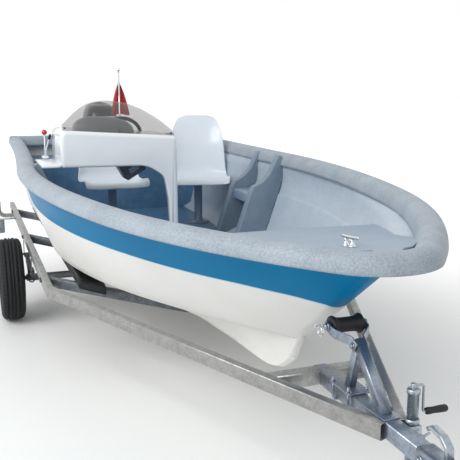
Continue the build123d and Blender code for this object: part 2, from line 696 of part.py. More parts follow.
def jockey_clamp():
    """Outer tube with its cap, crank boss and the clamp that holds it to the drawbar."""
    x, y = JOCKEY_X, JOCKEY_Y
    r = JOCKEY_TUBE_DIA / 2
    tube = rod((x, y, JOCKEY_TUBE_LOW), (x, y, JOCKEY_TOP), JOCKEY_TUBE_DIA)
    bore = rod((x, y, JOCKEY_TUBE_LOW - 1), (x, y, JOCKEY_TOP - 12), JOCKEY_TUBE_DIA - 2 * JOCKEY_TUBE_WALL)
    clamp = box(x - 24, x + 24, DRAWBAR_W / 2, y + r + 5, FRAME_TOP - BEAM_H + 6, FRAME_TOP - 6)
    cap = rod((x, y, JOCKEY_TOP - 12), (x, y, JOCKEY_TOP), JOCKEY_TUBE_DIA + 6)
    return tube + clamp + cap - bore


def jockey_crank():
    x, y, z = JOCKEY_X, JOCKEY_Y, JOCKEY_TOP
    stub = rod((x, y, z), (x, y, z + 14), 14)
    arm = bar([(x, y, z + 8), (x + 4, y + 36, z + 8), (x + 4, y + 36, z - 85)], 8, 8)
    grip = rod((x + 4, y + 36, z - 85), (x + 4, y + 130, z - 85), 24)
    return stub + arm + grip


def jockey_leg():
    x, y = JOCKEY_X, JOCKEY_Y
    return rod((x, y, JOCKEY_WHEEL_DIA + JOCKEY_SWIVEL_TOP), (x, y, JOCKEY_TUBE_LOW + JOCKEY_LAP), jockey_inner_dia())


def jockey_fork():
    x, y = JOCKEY_X, JOCKEY_Y
    z = JOCKEY_WHEEL_DIA / 2
    half = JOCKEY_WHEEL_W / 2 + 5
    top = z + JOCKEY_WHEEL_DIA / 2 + 14
    crown = box(x - JOCKEY_TRAIL - 20, x + 24, y - half - JOCKEY_FORK, y + half + JOCKEY_FORK, top, top + JOCKEY_FORK)
    swivel = rod((x, y, top), (x, y, JOCKEY_WHEEL_DIA + JOCKEY_SWIVEL_TOP - 0.3), 40)
    fork = crown + swivel
    hub_x = x - JOCKEY_TRAIL
    cheek = [(hub_x - 16, z - 16), (hub_x + 16, z - 16), (x + 22, top), (hub_x - 18, top)]
    for y0 in (y - half - JOCKEY_FORK, y + half):
        fork = fork + prism_y(cheek, y0, y0 + JOCKEY_FORK)
    return fork + rod((x - JOCKEY_TRAIL, y - half, z), (x - JOCKEY_TRAIL, y + half, z), 14)


def jockey_wheel():
    x, y, z = JOCKEY_X - JOCKEY_TRAIL, JOCKEY_Y, JOCKEY_WHEEL_DIA / 2
    w = JOCKEY_WHEEL_W / 2
    return rod((x, y - w, z), (x, y + w, z), JOCKEY_WHEEL_DIA) - rod((x, y - w - 1, z), (x, y + w + 1, z), 15)


# ----------------------------------------------------------------- coupling
def coupling_head():
    """Sleeve over the drawbar and the open ball socket."""
    half = DRAWBAR_W / 2
    x0 = DRAWBAR_END_X - 90
    sleeve = box(x0, DRAWBAR_END_X + 40, -half - 5, half + 5, FRAME_TOP - BEAM_H - 5, FRAME_TOP + 5)
    sleeve = sleeve - box(x0 - 1, DRAWBAR_END_X, -half, half, FRAME_TOP - BEAM_H, FRAME_TOP)
    neck = prism_z([(DRAWBAR_END_X + 30, -32), (DRAWBAR_END_X + 30, 32), (COUPLING_NOSE_X - 45, 40),
                    (COUPLING_NOSE_X - 45, -40)], FRAME_TOP - 42, FRAME_TOP + 4)
    ball_x = COUPLING_NOSE_X - 42
    head = rod((ball_x, 0, FRAME_TOP - 50), (ball_x, 0, FRAME_TOP + 10), 84)
    socket = Pos(ball_x, 0, FRAME_TOP - 30) * Sphere(25.3)
    mouth = rod((ball_x, 0, FRAME_TOP - 80), (ball_x, 0, FRAME_TOP - 30), 50.6)
    return sleeve + neck + head - socket - mouth


def coupling_handle():
    """Lifting handle: a leg up from the sleeve, bent back over the drawbar."""
    z = FRAME_TOP + 5
    x = DRAWBAR_END_X
    return prism_y([(x + 14, z), (x + 38, z), (x + 40, z + 45), (x + 28, z + 62), (x - 52, z + 80), (x - 74, z + 66),
                    (x - 70, z + 58), (x - 50, z + 69), (x + 14, z + 52), (x + 16, z + 45)], -14, 14)


# --------------------------------------------------------------- deck gear
def bow_cleat():
    x0, z0 = FOREDECK_AFT
    x1, z1 = FOREDECK_FRONT
    xc = 2200
    z = z0 + (xc - x0) * (z1 - z0) / (x1 - x0)
    tilt = degrees(atan2(z1 - z0, x1 - x0))
    feet = None
    for dx in (-32, 32):
        foot = box(dx - 11, dx + 11, -12, 12, 0, 26)
        feet = foot if feet is None else feet + foot
    horn = Pos(0, 0, 30) * Rot(0, 90, 0) * Cylinder(8, 190)
    return Pos(xc, 0, z) * Rot(0, -tilt, 0) * (feet + horn)


def bow_eye(hull):
    """Welded eye on the stem."""
    x, z = BOW_EYE
    ring = Pos(x + 22, 0, z - 16) * Rot(90, 0, 0) * Torus(24, 6)
    plate = rod((x - 14, 0, z + 12), (x + 9, 0, z - 6), 46)
    return (ring + plate) - hull


def control_levers():
    x, y, z = -850, -735, CON_BOTTOM + SHELF_THICK
    base = box(x - 45, x + 45, y - 22, y + 22, z, z + 14)
    lever = rod((x, y, z + 10), (x + 12, y, z + 165), 10) + Pos(x + 13, y, z + 180) * Sphere(19)
    second = rod((x - 30, y + 12, z + 10), (x - 36, y + 32, z + 130), 10)
    return base + lever + second


def steering_wheel():
    """Rim, three spokes, hub and shaft, tilted about the athwartships axis."""
    r = WHEEL_DIA / 2
    rim_ring = Torus(r - WHEEL_RIM_DIA / 2, WHEEL_RIM_DIA / 2)
    hub = Cylinder(40, 34)
    wheel = rim_ring + hub
    for angle in (90, 210, 330):
        wheel = wheel + Rot(0, 0, angle) * Pos(r / 2, 0, 0) * Box(r - 20, 26, 8)
    shaft = Pos(0, 0, -WHEEL_SHAFT / 2) * Cylinder(SHAFT_DIA / 2, WHEEL_SHAFT)
    return wheel_place() * (wheel + shaft)


def flag_staff():
    x, y = AFT_DECK_FRONT_X - 40, 40
    base = rod((x, y, AFT_DECK_Z), (x, y, AFT_DECK_Z + 12), 60)
    ball = Pos(x, y, STAFF_TOP - 12) * Sphere(12)
    return base + rod((x, y, AFT_DECK_Z + 10), (x, y, STAFF_TOP - 12), STAFF_DIA) + ball


def flag():
    """Small flag hanging limp behind its staff."""
    x, y = AFT_DECK_FRONT_X - 40, 40
    front = x - STAFF_DIA / 2 - 0.3
    return box(front - 14, front, y - 70, y + 95, 1385, 1660)


# -------------------------------------------------------------------- motor
def transom_x(z):
    """Outer face of the transom above the chine."""
    (xa, _), (xb, _) = CHINE_PLAN["transom"], HULL_PLAN["transom"]
    za, zb = height(CHINE_LEVEL, xa), height(lowered(SHEER_LEVEL, RAIL_WALL), xb)
    return xa + (z - za) * (xb - xa) / (zb - za)


def motor_bracket():
    """Clamp bracket hooked over the transom, with the tilt tube."""
    x, z = TILT_AXIS
    low, top, hook = CUTOUT_Z - 240, CUTOUT_Z, CUTOUT_Z - 55
    inner = TRANSOM_WALL + TRANSOM_PAD[1] + 2
    side_view = [(transom_x(low), low), (transom_x(top), top), (transom_x(top) + inner, top),
                 (transom_x(hook) + inner, hook), (transom_x(hook) + inner + 14, hook),
                 (transom_x(top) + inner + 14, top + 28), (x + 12, z + 24), (x - 24, z + 20), (x - 24, z - 20),
                 (transom_x(low) - 16, low)]
    cheeks = [prism_y(side_view, y0, y0 + 25) for y0 in (-145, 120)]
    return cheeks[0] + cheeks[1] + rod((x, -150, z), (x, 150, z), 28)


def motor_swivel():
    """Swivel bracket that tilts on the clamp bracket's tube."""
    x, z = TILT_AXIS
    arm = rod((x, -112, z), (x, 112, z), 60) - rod((x, -130, z), (x, 130, z), 29)
    barrel = rod((STEER_X, 0, z - 260), (STEER_X, 0, z + 30), 76)
    link = box(STEER_X, x - 20, -40, 40, z - 25, z + 25)
    bore = rod((STEER_X, 0, z - 270), (STEER_X, 0, z + 40), 45)
    return arm + barrel + link - bore


def motor_head():
    """Cowl, leg, gearcase and skeg: the mass that steers."""
    length, width, tall = COWL_SIZE
    x1 = COWL_AFT_X + length
    z0 = COWL_TOP - tall
    cowl = box(COWL_AFT_X, x1, -width / 2, width / 2, z0, COWL_TOP)
    cowl = fillet(cowl.edges().filter_by(Axis.Z), 70)
    cowl = fillet(cowl.faces().sort_by(Axis.Z)[-1].edges(), 60)
    t = COWL_WALL
    hollow = box(COWL_AFT_X + t, x1 - t, t - width / 2, width / 2 - t, z0 + t, COWL_TOP - t)
    hollow = fillet(hollow.edges().filter_by(Axis.Z), 70 - t)
    hollow = fillet(hollow.faces().sort_by(Axis.Z)[-1].edges(), 60 - t)
    long, wide, high = ENGINE_SIZE
    engine_x = COWL_AFT_X + length / 2
    engine = box(engine_x - long / 2, engine_x + long / 2, -wide / 2, wide / 2, z0 + t, z0 + t + high)
    cowl = cowl - hollow + engine
    tz = TILT_AXIS[1]
    post = rod((STEER_X, 0, tz - 300), (STEER_X, 0, z0 + 5), 44)
    lx0 = STEER_X - 60 - LEG_SIZE[0]
    leg = box(lx0, STEER_X - 50, -LEG_SIZE[1] / 2, LEG_SIZE[1] / 2, PROP_Z, z0 + 5)
    foot = box(lx0 + 10, STEER_X + 22, -30, 30, tz - 340, tz - 290)
    plate = box(lx0 - 90, STEER_X - 20, -90, 90, KEEL_LEVEL[0] + 2, KEEL_LEVEL[0] + 10)
    case = rod((lx0 - 40, 0, PROP_Z), (STEER_X - 20, 0, PROP_Z), GEARCASE_DIA)
    skeg = prism_y([(lx0 + 20, PROP_Z), (STEER_X - 60, PROP_Z), (STEER_X - 130, 62), (lx0, 62)], -6, 6)
    shaft = rod((prop_front() + 10, 0, PROP_Z), (prop_front() - 70, 0, PROP_Z), PROP_SHAFT_DIA)
    return cowl + post + leg + foot + plate + case + skeg + shaft


def prop_front():
    """Front face of the propeller's hub."""
    return STEER_X - 60 - LEG_SIZE[0] - 40 - 5


def propeller():
    x = prop_front()
    hub = rod((x - 75, 0, PROP_Z), (x, 0, PROP_Z), 84)
    prop = hub
    for turn in (0, 120, 240):
        blade = Rot(0, 0, 32) * Box(9, 84, PROP_DIA / 2 - 34)
        prop = prop + Pos(x - 40, 0, PROP_Z) * Rot(turn, 0, 0) * Pos(0, 0, 34 + (PROP_DIA / 2 - 34) / 2) * blade
    limit = rod((x - 120, 0, PROP_Z), (x + 1, 0, PROP_Z), PROP_DIA)
    bore = rod((x - 120, 0, PROP_Z), (x + 1, 0, PROP_Z), PROP_SHAFT_DIA + 0.6)
    return (prop & limit) - bore


# ----------------------------------------------------------------- assembly
def build():
    """All nodes by name."""
    outer, inner = hull_outer(), hull_inner()
    block = rail_block()
    pad = transom_pad(inner)
    nodes = {
        "hull_shell": outer - inner - cutout() + pad,
        "gunwale_rail": gunwale_rail(block, outer),
        "cockpit_sole": sole(inner) - pad,
        "fore_deck": foredeck(inner, block),
        "aft_deck": aft_deck(inner) - pad,
        "side_ribs_port": side_ribs(inner, block, 1),
        "side_ribs_starboard": side_ribs(inner, block, -1),
        "console_body": console_body(),
        "console_shelf": console_shelf(),
        "dash_hood": dash_hood(),
        "windscreen": windscreen(),
        "helm_box": helm_box(),
        "steering_wheel": steering_wheel(),
        "control_levers": control_levers(),
        "bow_cleat": bow_cleat(),
        "bow_eye": bow_eye(outer),
        "flag_staff": flag_staff(),
        "flag": flag(),
        "motor_bracket": motor_bracket(),
        "motor_swivel": motor_swivel(),
        "motor_head": motor_head(),
        "propeller": propeller(),
    }
    for name, place in SEATS.items():
        nodes[f"{name}_seat"] = seat_shell(*place)
        nodes[f"{name}_seat_post"] = seat_post(*place)
    beam = side_beam()
    nodes["frame_beam_port"], nodes["frame_beam_starboard"] = both(beam)
    nodes["drawbar"] = drawbar()
    nodes["front_cross_member"] = Compound(front_cross_member())
    nodes["vee_members"] = Compound([vee_member(x) for x in CROSS_MEMBER_XS])
    board = bunk(outer)
    nodes["bunk_port"], nodes["bunk_starboard"] = both(board)
    nodes["bunk_blocks"] = Compound(bunk_blocks(board))
    nodes["keel_pads"] = Compound(keel_pads())
    nodes["axle_beam"] = axle()
    nodes["leaf_springs"] = Compound(both(leaf_spring()))
    for name, side in (("port", 1), ("starboard", -1)):
        nodes[f"tyre_{name}"] = tyre(side * WHEEL_Y)
        nodes[f"rim_{name}"] = rim(side * WHEEL_Y, side)
    nodes["rear_tube"] = rear_tube()
    nodes["lamp_brackets"] = Compound(both(lamp_bracket()))
    nodes["bow_post"] = bow_post()
    nodes["roller_arms"] = roller_arms()
    nodes["bow_roller"] = bow_roller()
    nodes["jockey_clamp"] = jockey_clamp()
    nodes["jockey_crank"] = jockey_crank()
    nodes["jockey_leg"] = jockey_leg()
    nodes["jockey_fork"] = jockey_fork()
    nodes["jockey_wheel"] = jockey_wheel()
    nodes["coupling_head"] = coupling_head()
    nodes["coupling_handle"] = coupling_handle()
    return nodes


os.makedirs("parts", exist_ok=True)
for node_name, solid in build().items():
    export_step(solid, f"parts/{node_name}.step")
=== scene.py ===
"""A speedboat on its trailer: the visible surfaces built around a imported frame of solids.

Metres, +X to the bow, +Y to port, +Z up. Each piece is a surface worked out as whole
numpy arrays and rides on a body of the frame.
"""
# %% [markdown]
# The solids come in first. They say where every part is, so each surface below is given the
# same plans and heights, and nothing has to be fitted by eye.
# %% Load the frame
import math
import bmesh
import bpy
import numpy as np
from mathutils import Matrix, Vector


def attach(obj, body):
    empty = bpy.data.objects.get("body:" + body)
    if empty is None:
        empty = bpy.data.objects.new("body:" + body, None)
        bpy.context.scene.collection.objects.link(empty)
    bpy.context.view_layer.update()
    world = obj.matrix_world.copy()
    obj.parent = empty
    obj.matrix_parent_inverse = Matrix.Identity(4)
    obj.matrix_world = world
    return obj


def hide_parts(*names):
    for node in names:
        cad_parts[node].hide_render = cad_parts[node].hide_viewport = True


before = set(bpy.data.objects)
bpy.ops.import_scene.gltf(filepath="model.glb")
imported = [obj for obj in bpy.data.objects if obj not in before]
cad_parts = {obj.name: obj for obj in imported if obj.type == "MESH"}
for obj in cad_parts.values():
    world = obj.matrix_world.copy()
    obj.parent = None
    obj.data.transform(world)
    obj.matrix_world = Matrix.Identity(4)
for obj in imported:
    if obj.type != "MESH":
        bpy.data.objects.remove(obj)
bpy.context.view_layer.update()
ROOT = "boat_on_trailer"
EX, EY, EZ = np.eye(3)  # unit vectors along X, Y and Z
print("frame nodes:", len(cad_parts))

# %% [markdown]
# The camera stands ahead of the bow on the starboard side, a little above the rail, and looks
# down by eleven degrees. A slightly long lens keeps the boat's proportions.
# %% Camera


def add_object(name, data):
    """A new object in the scene."""
    made = bpy.data.objects.new(name, data)
    bpy.context.scene.collection.objects.link(made)
    return made


def aim(thing, way):
    """Turns a camera or a lamp so that it looks along a vector."""
    thing.rotation_euler = way.to_track_quat("-Z", "Y").to_euler()


LOOK_DOWN, LOOK_ACROSS = math.radians(11.09), math.radians(19.70)
camera = add_object("camera", bpy.data.cameras.new("camera"))
camera.data.lens, camera.data.sensor_width = 57.9, 36.0
camera.location = (4.475, -1.265, 1.635)
aim(camera, Vector((-math.cos(LOOK_DOWN) * math.cos(LOOK_ACROSS),
                    math.cos(LOOK_DOWN) * math.sin(LOOK_ACROSS),
                    -math.sin(LOOK_DOWN))))
bpy.context.scene.camera = camera
bpy.context.scene.view_settings.view_transform = "Standard"
print("camera at", *camera.location)

# %% [markdown]
# Every material starts from one Principled shader. The class below adds noise, blends, ranges
# and relief to it, with every pattern given its size in millimetres.
# %% Material tools
MM = 0.001


def linear(code):
    """sRGB hex to linear RGBA: c / 12.92 below 0.04045, else ((c + 0.055) / 1.055) ** 2.4."""
    parts = np.array([int(code[i:i + 2], 16) for i in (1, 3, 5)]) / 255
    out = np.where(parts <= 0.04045, parts / 12.92, ((parts + 0.055) / 1.055) ** 2.4)
    return (*out.tolist(), 1.0)


def add(tree, kind, inputs=None, **settings):
    """One node: settings are its own fields, inputs are sockets given a value or another node's output."""
    node = tree.nodes.new(kind)
    for key, value in settings.items():
        setattr(node, key, value)
    for key, value in (inputs or {}).items():
        if isinstance(value, bpy.types.NodeSocket):
            tree.links.new(value, node.inputs[key])
        else:
            node.inputs[key].default_value = value
    return node


def blend(tree, factor, low, high):
    """Colour between two ends, each a hex colour or another node's output."""
    low, high = (linear(end) if isinstance(end, str) else end for end in (low, high))
    return add(tree, "ShaderNodeMix", {"Factor": factor, "A": low, "B": high},
               data_type="RGBA").outputs["Result"]


def stretch(tree, value, low, high, to_low=0.0, to_high=1.0, **settings):
    """The range low to high laid over the range to_low to to_high, and held at its ends."""
    return add(tree, "ShaderNodeMapRange",
               {"Value": value, "From Min": low, "From Max": high, "To Min": to_low,
                                            "To Max": to_high}, **settings).outputs["Result"]


class Paint:
    """A material in the making: its nodes, its shader and its Object coordinates."""

    def __init__(self, name, colour, **sockets):
        self.material = bpy.data.materials.new(name)
        self.material.use_nodes = True
        self.tree = self.material.node_tree
        self.shader = self.tree.nodes["Principled BSDF"]
        self.shader.inputs["Base Color"].default_value = linear(colour)
        for key, value in sockets.items():
            self.shader.inputs[key.replace("_", " ")].default_value = value
        self.place = add(self.tree, "ShaderNodeTexCoord").outputs["Object"]
        print("material", name)

    def feed(self, socket, output):
        """Links another node's output to one of the shader's sockets."""
        self.tree.links.new(output, self.shader.inputs[socket])

    def noise(self, size, detail, roughness=0.5):
        """Noise whose largest features are about size millimetres."""
        return add(self.tree, "ShaderNodeTexNoise",
                   {"Vector": self.place, "Scale": 1 / (size * MM), "Detail": detail,
                                                     "Roughness": roughness}).outputs["Fac"]

    def combine(self, operation, *values):
        """One Math node over values or other nodes' outputs."""
        return add(self.tree, "ShaderNodeMath", dict(enumerate(values)), operation=operation).outputs[0]

    def relief(self, height, strength, distance):
        """Bump of that distance in metres."""
        bump = add(self.tree, "ShaderNodeBump",
                   {"Height": height, "Strength": strength, "Distance": distance})
        self.feed("Normal", bump.outputs["Normal"])


# %% [markdown]
# Gelcoat is the pigmented resin that is brushed into the mould first. The hull's is polished:
# an even colour below a clear gloss. The stripe is the same resin in blue, so it is drawn in
# this material from an attribute, the height above the stripe's lower edge.
# %% Polished hull gelcoat
PALE_LINE = -0.006
paint = Paint("gelcoat_white_with_blue_band", "#e6e6e2", Roughness=0.34, Specular_IOR_Level=0.04,
              Coat_Weight=0.02,
              Coat_Roughness=0.06)
hull_gelcoat = paint.material
band = add(paint.tree, "ShaderNodeAttribute", attribute_name="band").outputs["Fac"]
mottle = paint.noise(320, 3.0)
white = blend(paint.tree, mottle, "#deddd8", "#eeeeec")
blue = blend(paint.tree, mottle, "#00699a", "#007cac")
below = blend(paint.tree, paint.combine("GREATER_THAN", band, PALE_LINE), white, "#c9dbe4")
paint.feed("Base Color", blend(paint.tree, paint.combine("GREATER_THAN", band, 0.0), below, blue))
paint.relief(paint.noise(90, 2.0), 0.03, 0.002)

# %% [markdown]
# The inside, the deck and the rail are flow-coated: a grey-blue resin brushed on after moulding,
# so its tone drifts over a hand's width and its face is finely stippled. The rail's stipple is
# coarse and dry, the liner's is smoother.
# %% Brushed grey flow-coat


def flow_coat(name, dark, light, speck, rough, stipple, contrast=0.22):
    """Noise of a hand's width plus a stipple of speck millimetres, in colour and height."""
    paint = Paint(name, light, Roughness=rough, Coat_Weight=0.15, Coat_Roughness=0.3)
    grain = paint.noise(speck, 5.0, 0.75)
    both = paint.combine("MULTIPLY_ADD", paint.noise(140, 4.0, 0.6), 0.4, grain)
    share = stretch(paint.tree, both, 0.70 - contrast, 0.70 + contrast)
    paint.feed("Base Color", blend(paint.tree, share, dark, light))
    paint.relief(grain, stipple, 0.003)
    return paint.material


rail_coat = flow_coat("flow_coat_rail", "#818d98", "#afb8c0", 7, 0.65, 0.40, 0.20)
liner_coat = flow_coat("flow_coat_liner", "#a3b0bc", "#bdc8d2", 12, 0.5, 0.10)
# painted shade: a darker, bluer copy of the liner's resin for the foredeck's upward face, which the side
# lamp lights less
deck_coat_painted_shade = flow_coat("flow_coat_deck_painted_shade", "#7f92a4", "#91a3b4", 10, 0.45, 0.08)
# partly painted shade: a darker, bluer copy of the liner's resin for the cockpit's shaded sole and aft deck
sole_coat_painted_shade = flow_coat("flow_coat_sole_painted_shade", "#466c8d", "#648aab", 60, 0.35, 0.12)
rib_coat = flow_coat("flow_coat_rib", "#697a8a", "#8493a1", 8, 0.5, 0.15)

# %% [markdown]
# The console and the shelf are moulded like the hull but stay plain white. The seats are
# moulded polypropylene, softer in gloss, with a faint blue of the sky in them. Paint, rubber
# and the dark plastics are the same kind of even skin with their own tones and gloss.
# %% Plain mouldings, paint and rubber


def plain_skin(name, low, high, rough, coat):
    """Two near tones drift over 200 mm; gloss varies a little with them."""
    paint = Paint(name, high, Roughness=rough, Coat_Weight=coat, Coat_Roughness=0.1)
    drift = paint.noise(200, 3.0)
    paint.feed("Base Color", blend(paint.tree, drift, low, high))
    paint.feed("Roughness", stretch(paint.tree, drift, 0.0, 1.0, rough * 0.8, rough * 1.25))
    paint.relief(paint.noise(4, 2.0), 0.04, 0.0005)
    return paint.material


console_white = plain_skin("gelcoat_white_console", "#e2e7eb", "#eef1f3", 0.22, 0.5)
seat_white = plain_skin("polypropylene_white_seat", "#d9e2ea", "#e9eff4", 0.3, 0.3)
grey_abs = plain_skin("abs_grey_hood", "#b0b2b5", "#c2c4c6", 0.4, 0.1)
black_abs = plain_skin("abs_black", "#15171a", "#202327", 0.38, 0.1)
grey_case = plain_skin("abs_dark_grey_case", "#3e464e", "#525b64", 0.4, 0.1)
pale_label = plain_skin("label_pale_blank", "#7f8a94", "#98a2ab", 0.4, 0.1)
red_knob = plain_skin("phenolic_red_knob", "#a81418", "#c81c20", 0.2, 0.5)
cowl_black = plain_skin("paint_black_cowl", "#101215", "#1b1e22", 0.2, 0.7)
grey_paint = plain_skin("paint_grey_post", "#66788a", "#7b8c9c", 0.35, 0.3)
dark_paint = plain_skin("paint_dark_steel", "#2a2d31", "#3a3e43", 0.45, 0.2)
rubber_black = plain_skin("rubber_black_moulded", "#101113", "#1b1d20", 0.55, 0.0)
tyre_black = plain_skin("rubber_tyre", "#07090c", "#101317", 0.7, 0.0)
board_black = plain_skin("phenolic_board_black", "#0c0d0f", "#17191c", 0.5, 0.0)

# %% [markdown]
# Hot-dip galvanised steel has a skin of zinc that froze in flat grains, each a slightly
# different grey. A Voronoi pattern gives the grains, and noise gives the runs that the zinc
# leaves as the part is lifted from the bath.
# %% Metals, screen and cloth


def zinc_coat(name, dark, light, rough):
    """Grain tone from Voronoi cells of 7 mm and runs of 45 mm, both in colour and roughness."""
    paint = Paint(name, light, Roughness=rough, Metallic=0.85)
    cells = add(paint.tree, "ShaderNodeTexVoronoi", {"Vector": paint.place, "Scale": 1 / (7 * MM)},
                feature="F1")
    split = add(paint.tree, "ShaderNodeSeparateColor", {"Color": cells.outputs["Color"]})
    runs = paint.noise(45, 6.0, 0.65)
    both = paint.combine("MULTIPLY_ADD", split.outputs["Red"], 0.25, runs)
    paint.feed("Base Color", blend(paint.tree, stretch(paint.tree, both, 0.4, 0.85), dark, light))
    paint.feed("Roughness", stretch(paint.tree, both, 0.4, 0.85, rough + 0.12, rough - 0.08))
    paint.relief(runs, 0.15, 0.001)
    return paint.material


zinc = zinc_coat("galvanised_steel", "#929291", "#adadab", 0.40)
zinc_cool = zinc_coat("galvanised_steel_smooth", "#838c98", "#9fa8b4", 0.34)
# painted shade: a darker copy of the galvanised zinc for the vee members, axle and springs in the shade
# under the hull
zinc_painted_shade = zinc_coat("galvanised_steel_painted_shade", "#5c6166", "#757b80", 0.5)
bright_zinc = zinc_coat("zinc_plated_bright", "#9aa3ab", "#b4bcc3", 0.28)
chrome = Paint("chromed_brass_polished", "#d8dcdf", Metallic=1.0, Roughness=0.08).material
smoked = Paint("acrylic_smoked_sheet", "#5b5b5a", Roughness=0.05, Alpha=0.35,
               Specular_IOR_Level=0.4).material
paint = Paint("polyester_red_flag", "#b51a20", Roughness=0.7, Sheen_Weight=0.3, Transmission_Weight=0.1)
flag_cloth = paint.material
weave = add(paint.tree, "ShaderNodeTexWave", {"Vector": paint.place, "Scale": 1 / (5 * MM)},
            bands_direction="Z")
paint.relief(weave.outputs["Fac"], 0.2, 0.0005)

# %% [markdown]
# Every surface is a grid of points. These tools turn grids into a mesh, give it its body
# and hide the solid that it stands for. A shell is a grid whose columns close on each other;
# it is either capped at both ends or, where its rows close too, a ring.
# %% From grids to pieces


def grid_faces(rows, cols, wrap_rows=False, wrap_cols=False):
    """Quads between neighbours (i, j), (i + 1, j), (i + 1, j + 1), (i, j + 1) of a grid."""
    i = np.arange(rows if wrap_rows else rows - 1)[:, None]
    j = np.arange(cols if wrap_cols else cols - 1)[None, :]
    i2, j2 = (i + 1) % rows, (j + 1) % cols
    return np.stack([i * cols + j, i2 * cols + j, i2 * cols + j2, i * cols + j2], -1).reshape(-1, 4)


def make_piece(name, points, faces, material, slot, body=ROOT, replaces=None, closed=False, band=None):
    """A mesh piece; a closed mesh gets its outward side worked out, and band is its stripe attribute."""
    mesh = bpy.data.meshes.new(name)
    mesh.from_pydata(np.asarray(points, float).tolist(), [], [list(map(int, f)) for f in faces])
    if band is not None:
        layer = mesh.attributes.new("band", "FLOAT", "POINT")
        layer.data.foreach_set("value", np.asarray(band, np.float32))
    if closed:
        shape = bmesh.new()
        shape.from_mesh(mesh)
        bmesh.ops.recalc_face_normals(shape, faces=shape.faces)
        shape.to_mesh(mesh)
        shape.free()
    mesh.polygons.foreach_set("use_smooth", np.ones(len(mesh.polygons), bool))
    mesh.materials.append(material)
    piece = add_object(name, mesh)
    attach(piece, body)
    if replaces:
        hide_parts(replaces)
    print("piece", name, "-", len(mesh.polygons), "faces in", material.name)
    return piece


def sheet_piece(name, grid, material, slot, flip=False, thick=None, middle=False, **more):
    """An open surface; thick adds a Solidify inwards, or to both sides of the middle."""
    faces = grid_faces(*grid.shape[:2])
    piece = make_piece(name, grid.reshape(-1, 3), faces[:, ::-1] if flip else faces, material, slot, **more)
    return thicken(piece, thick, 0 if middle else -1) if thick else piece


def thicken(piece, thick, offset=-1):
    """Gives an open surface its wall: offset -1 is all inwards, 0 is half to each side."""
    wall = piece.modifiers.new("thickness", "SOLIDIFY")
    wall.thickness, wall.offset = thick, offset
    return piece


def shell_piece(name, shells, material, slot, **more):
    """One closed piece of several shells, each (grid, is a ring)."""
    points, faces, base = [], [], 0
    for grid, is_ring in shells:
        rows, cols = grid.shape[:2]
        faces += (grid_faces(rows, cols, is_ring, True) + base).tolist()
        if not is_ring:
            faces += [list(range(base, base + cols)),
                      list(range(base + (rows - 1) * cols, base + rows * cols))]
        points.append(grid.reshape(-1, 3))
        base += rows * cols
    return make_piece(name, np.concatenate(points), faces, material, slot, closed=True, **more)


def ring(shell):
    """The same shell with its rows closed and no caps."""
    return shell[0], True


def mirrored(shells):
    """The same shells on the other side of the centreline."""
    return [(grid * (1, -1, 1), is_ring) for grid, is_ring in shells]


def sharpen(piece, angle):
    """Keeps creases over the angle crisp in the shading."""
    piece.data.set_sharp_from_angle(angle=math.radians(angle))


# %% [markdown]
# Outlines and routes are given by their corners, and each corner is filled with an arc.
# %% Outlines and routes


def unit(vectors):
    """Vectors along the last axis, made one long."""
    vectors = np.asarray(vectors, float)
    return vectors / np.linalg.norm(vectors, axis=-1, keepdims=True)


def smoothstep(low, high, x):
    """3 s^2 - 2 s^3 of the clamped share s of the way from low to high."""
    s = np.clip((x - low) / (high - low), 0, 1)
    return s * s * (3 - 2 * s)


def circle(count, power=2):
    """Points of |x|^power + |y|^power = 1 at even angles: a circle, or rounder squares for higher powers."""
    a = np.linspace(0, 2 * np.pi, count, endpoint=False)
    xy = np.stack([np.cos(a), np.sin(a)], 1)
    return xy if power == 2 else xy * (np.abs(xy) ** power).sum(1, keepdims=True) ** (-1 / power)


def fillet(a, p, b, radius, steps, most=np.inf):
    """Arc in the corner a-p-b: its tangent length is r / tan(half the corner's angle), and at most
    that given.
    """
    u, v = unit(a - p), unit(b - p)
    half = 0.5 * np.arccos(np.clip(u @ v, -1, 1))
    if radius <= 0 or half > 1.55:
        return p[None]
    reach = min(radius / np.tan(half), most)
    r, full = reach * np.tan(half), np.pi - 2 * half
    centre = p + unit(u + v) * r / np.sin(half)
    start, end = p + u * reach - centre, p + v * reach - centre
    turn = np.linspace(0, 1, steps)[:, None] * full
    return centre + start * np.cos(turn) + unit(end - start * np.cos(full)) * r * np.sin(turn)


def rounded_loop(corners, radii, steps=5):
    """Closed outline with an arc in each corner."""
    corners = np.asarray(corners, float)
    around = zip(np.roll(corners, 1, 0), corners, np.roll(corners, -1, 0),
                 np.broadcast_to(radii, len(corners)))
    return np.concatenate([fillet(a, p, b, r, steps) for a, p, b, r in around])


def bend_path(corners, radius, steps=6):
    """Open route whose inner corners are arcs of that radius, or what 45 % of the shorter leg allows."""
    corners = np.asarray(corners, float)
    legs = np.linalg.norm(np.diff(corners, axis=0), axis=1)
    arcs = [fillet(*corners[k:k + 3], radius, steps,
                   0.45 * min(legs[k:k + 2])) for k in range(len(corners) - 2)]
    return np.concatenate([corners[:1], *arcs, corners[-1:]])


def shrink_loop(loop, amount):
    """Closed outline moved inwards: each point goes along the mitre of its two edges' normals."""
    ahead = np.roll(loop, -1, 0) - loop
    ahead /= np.maximum(np.linalg.norm(ahead, axis=1, keepdims=True), 1e-9)
    normal = np.stack([-ahead[:, 1], ahead[:, 0]], 1)
    area = np.sum(loop[:, 0] * np.roll(loop[:, 1], -1) - np.roll(loop[:, 0], -1) * loop[:, 1])
    normal = normal if area > 0 else -normal
    mitre = normal + np.roll(normal, 1, 0)
    mitre /= np.maximum(np.sum(mitre * mitre, 1, keepdims=True) / 2, 0.5)
    return loop + mitre * np.reshape(amount, (-1, 1))


# %% [markdown]
# Four makers cover the fittings: a plate with rounded edges, a profile carried along a route, a
# profile spun round an axis and a hoop of round tube. Each gives one shell. Bolts and the open
# ends of tubes are made from them.
# %% Makers of shells


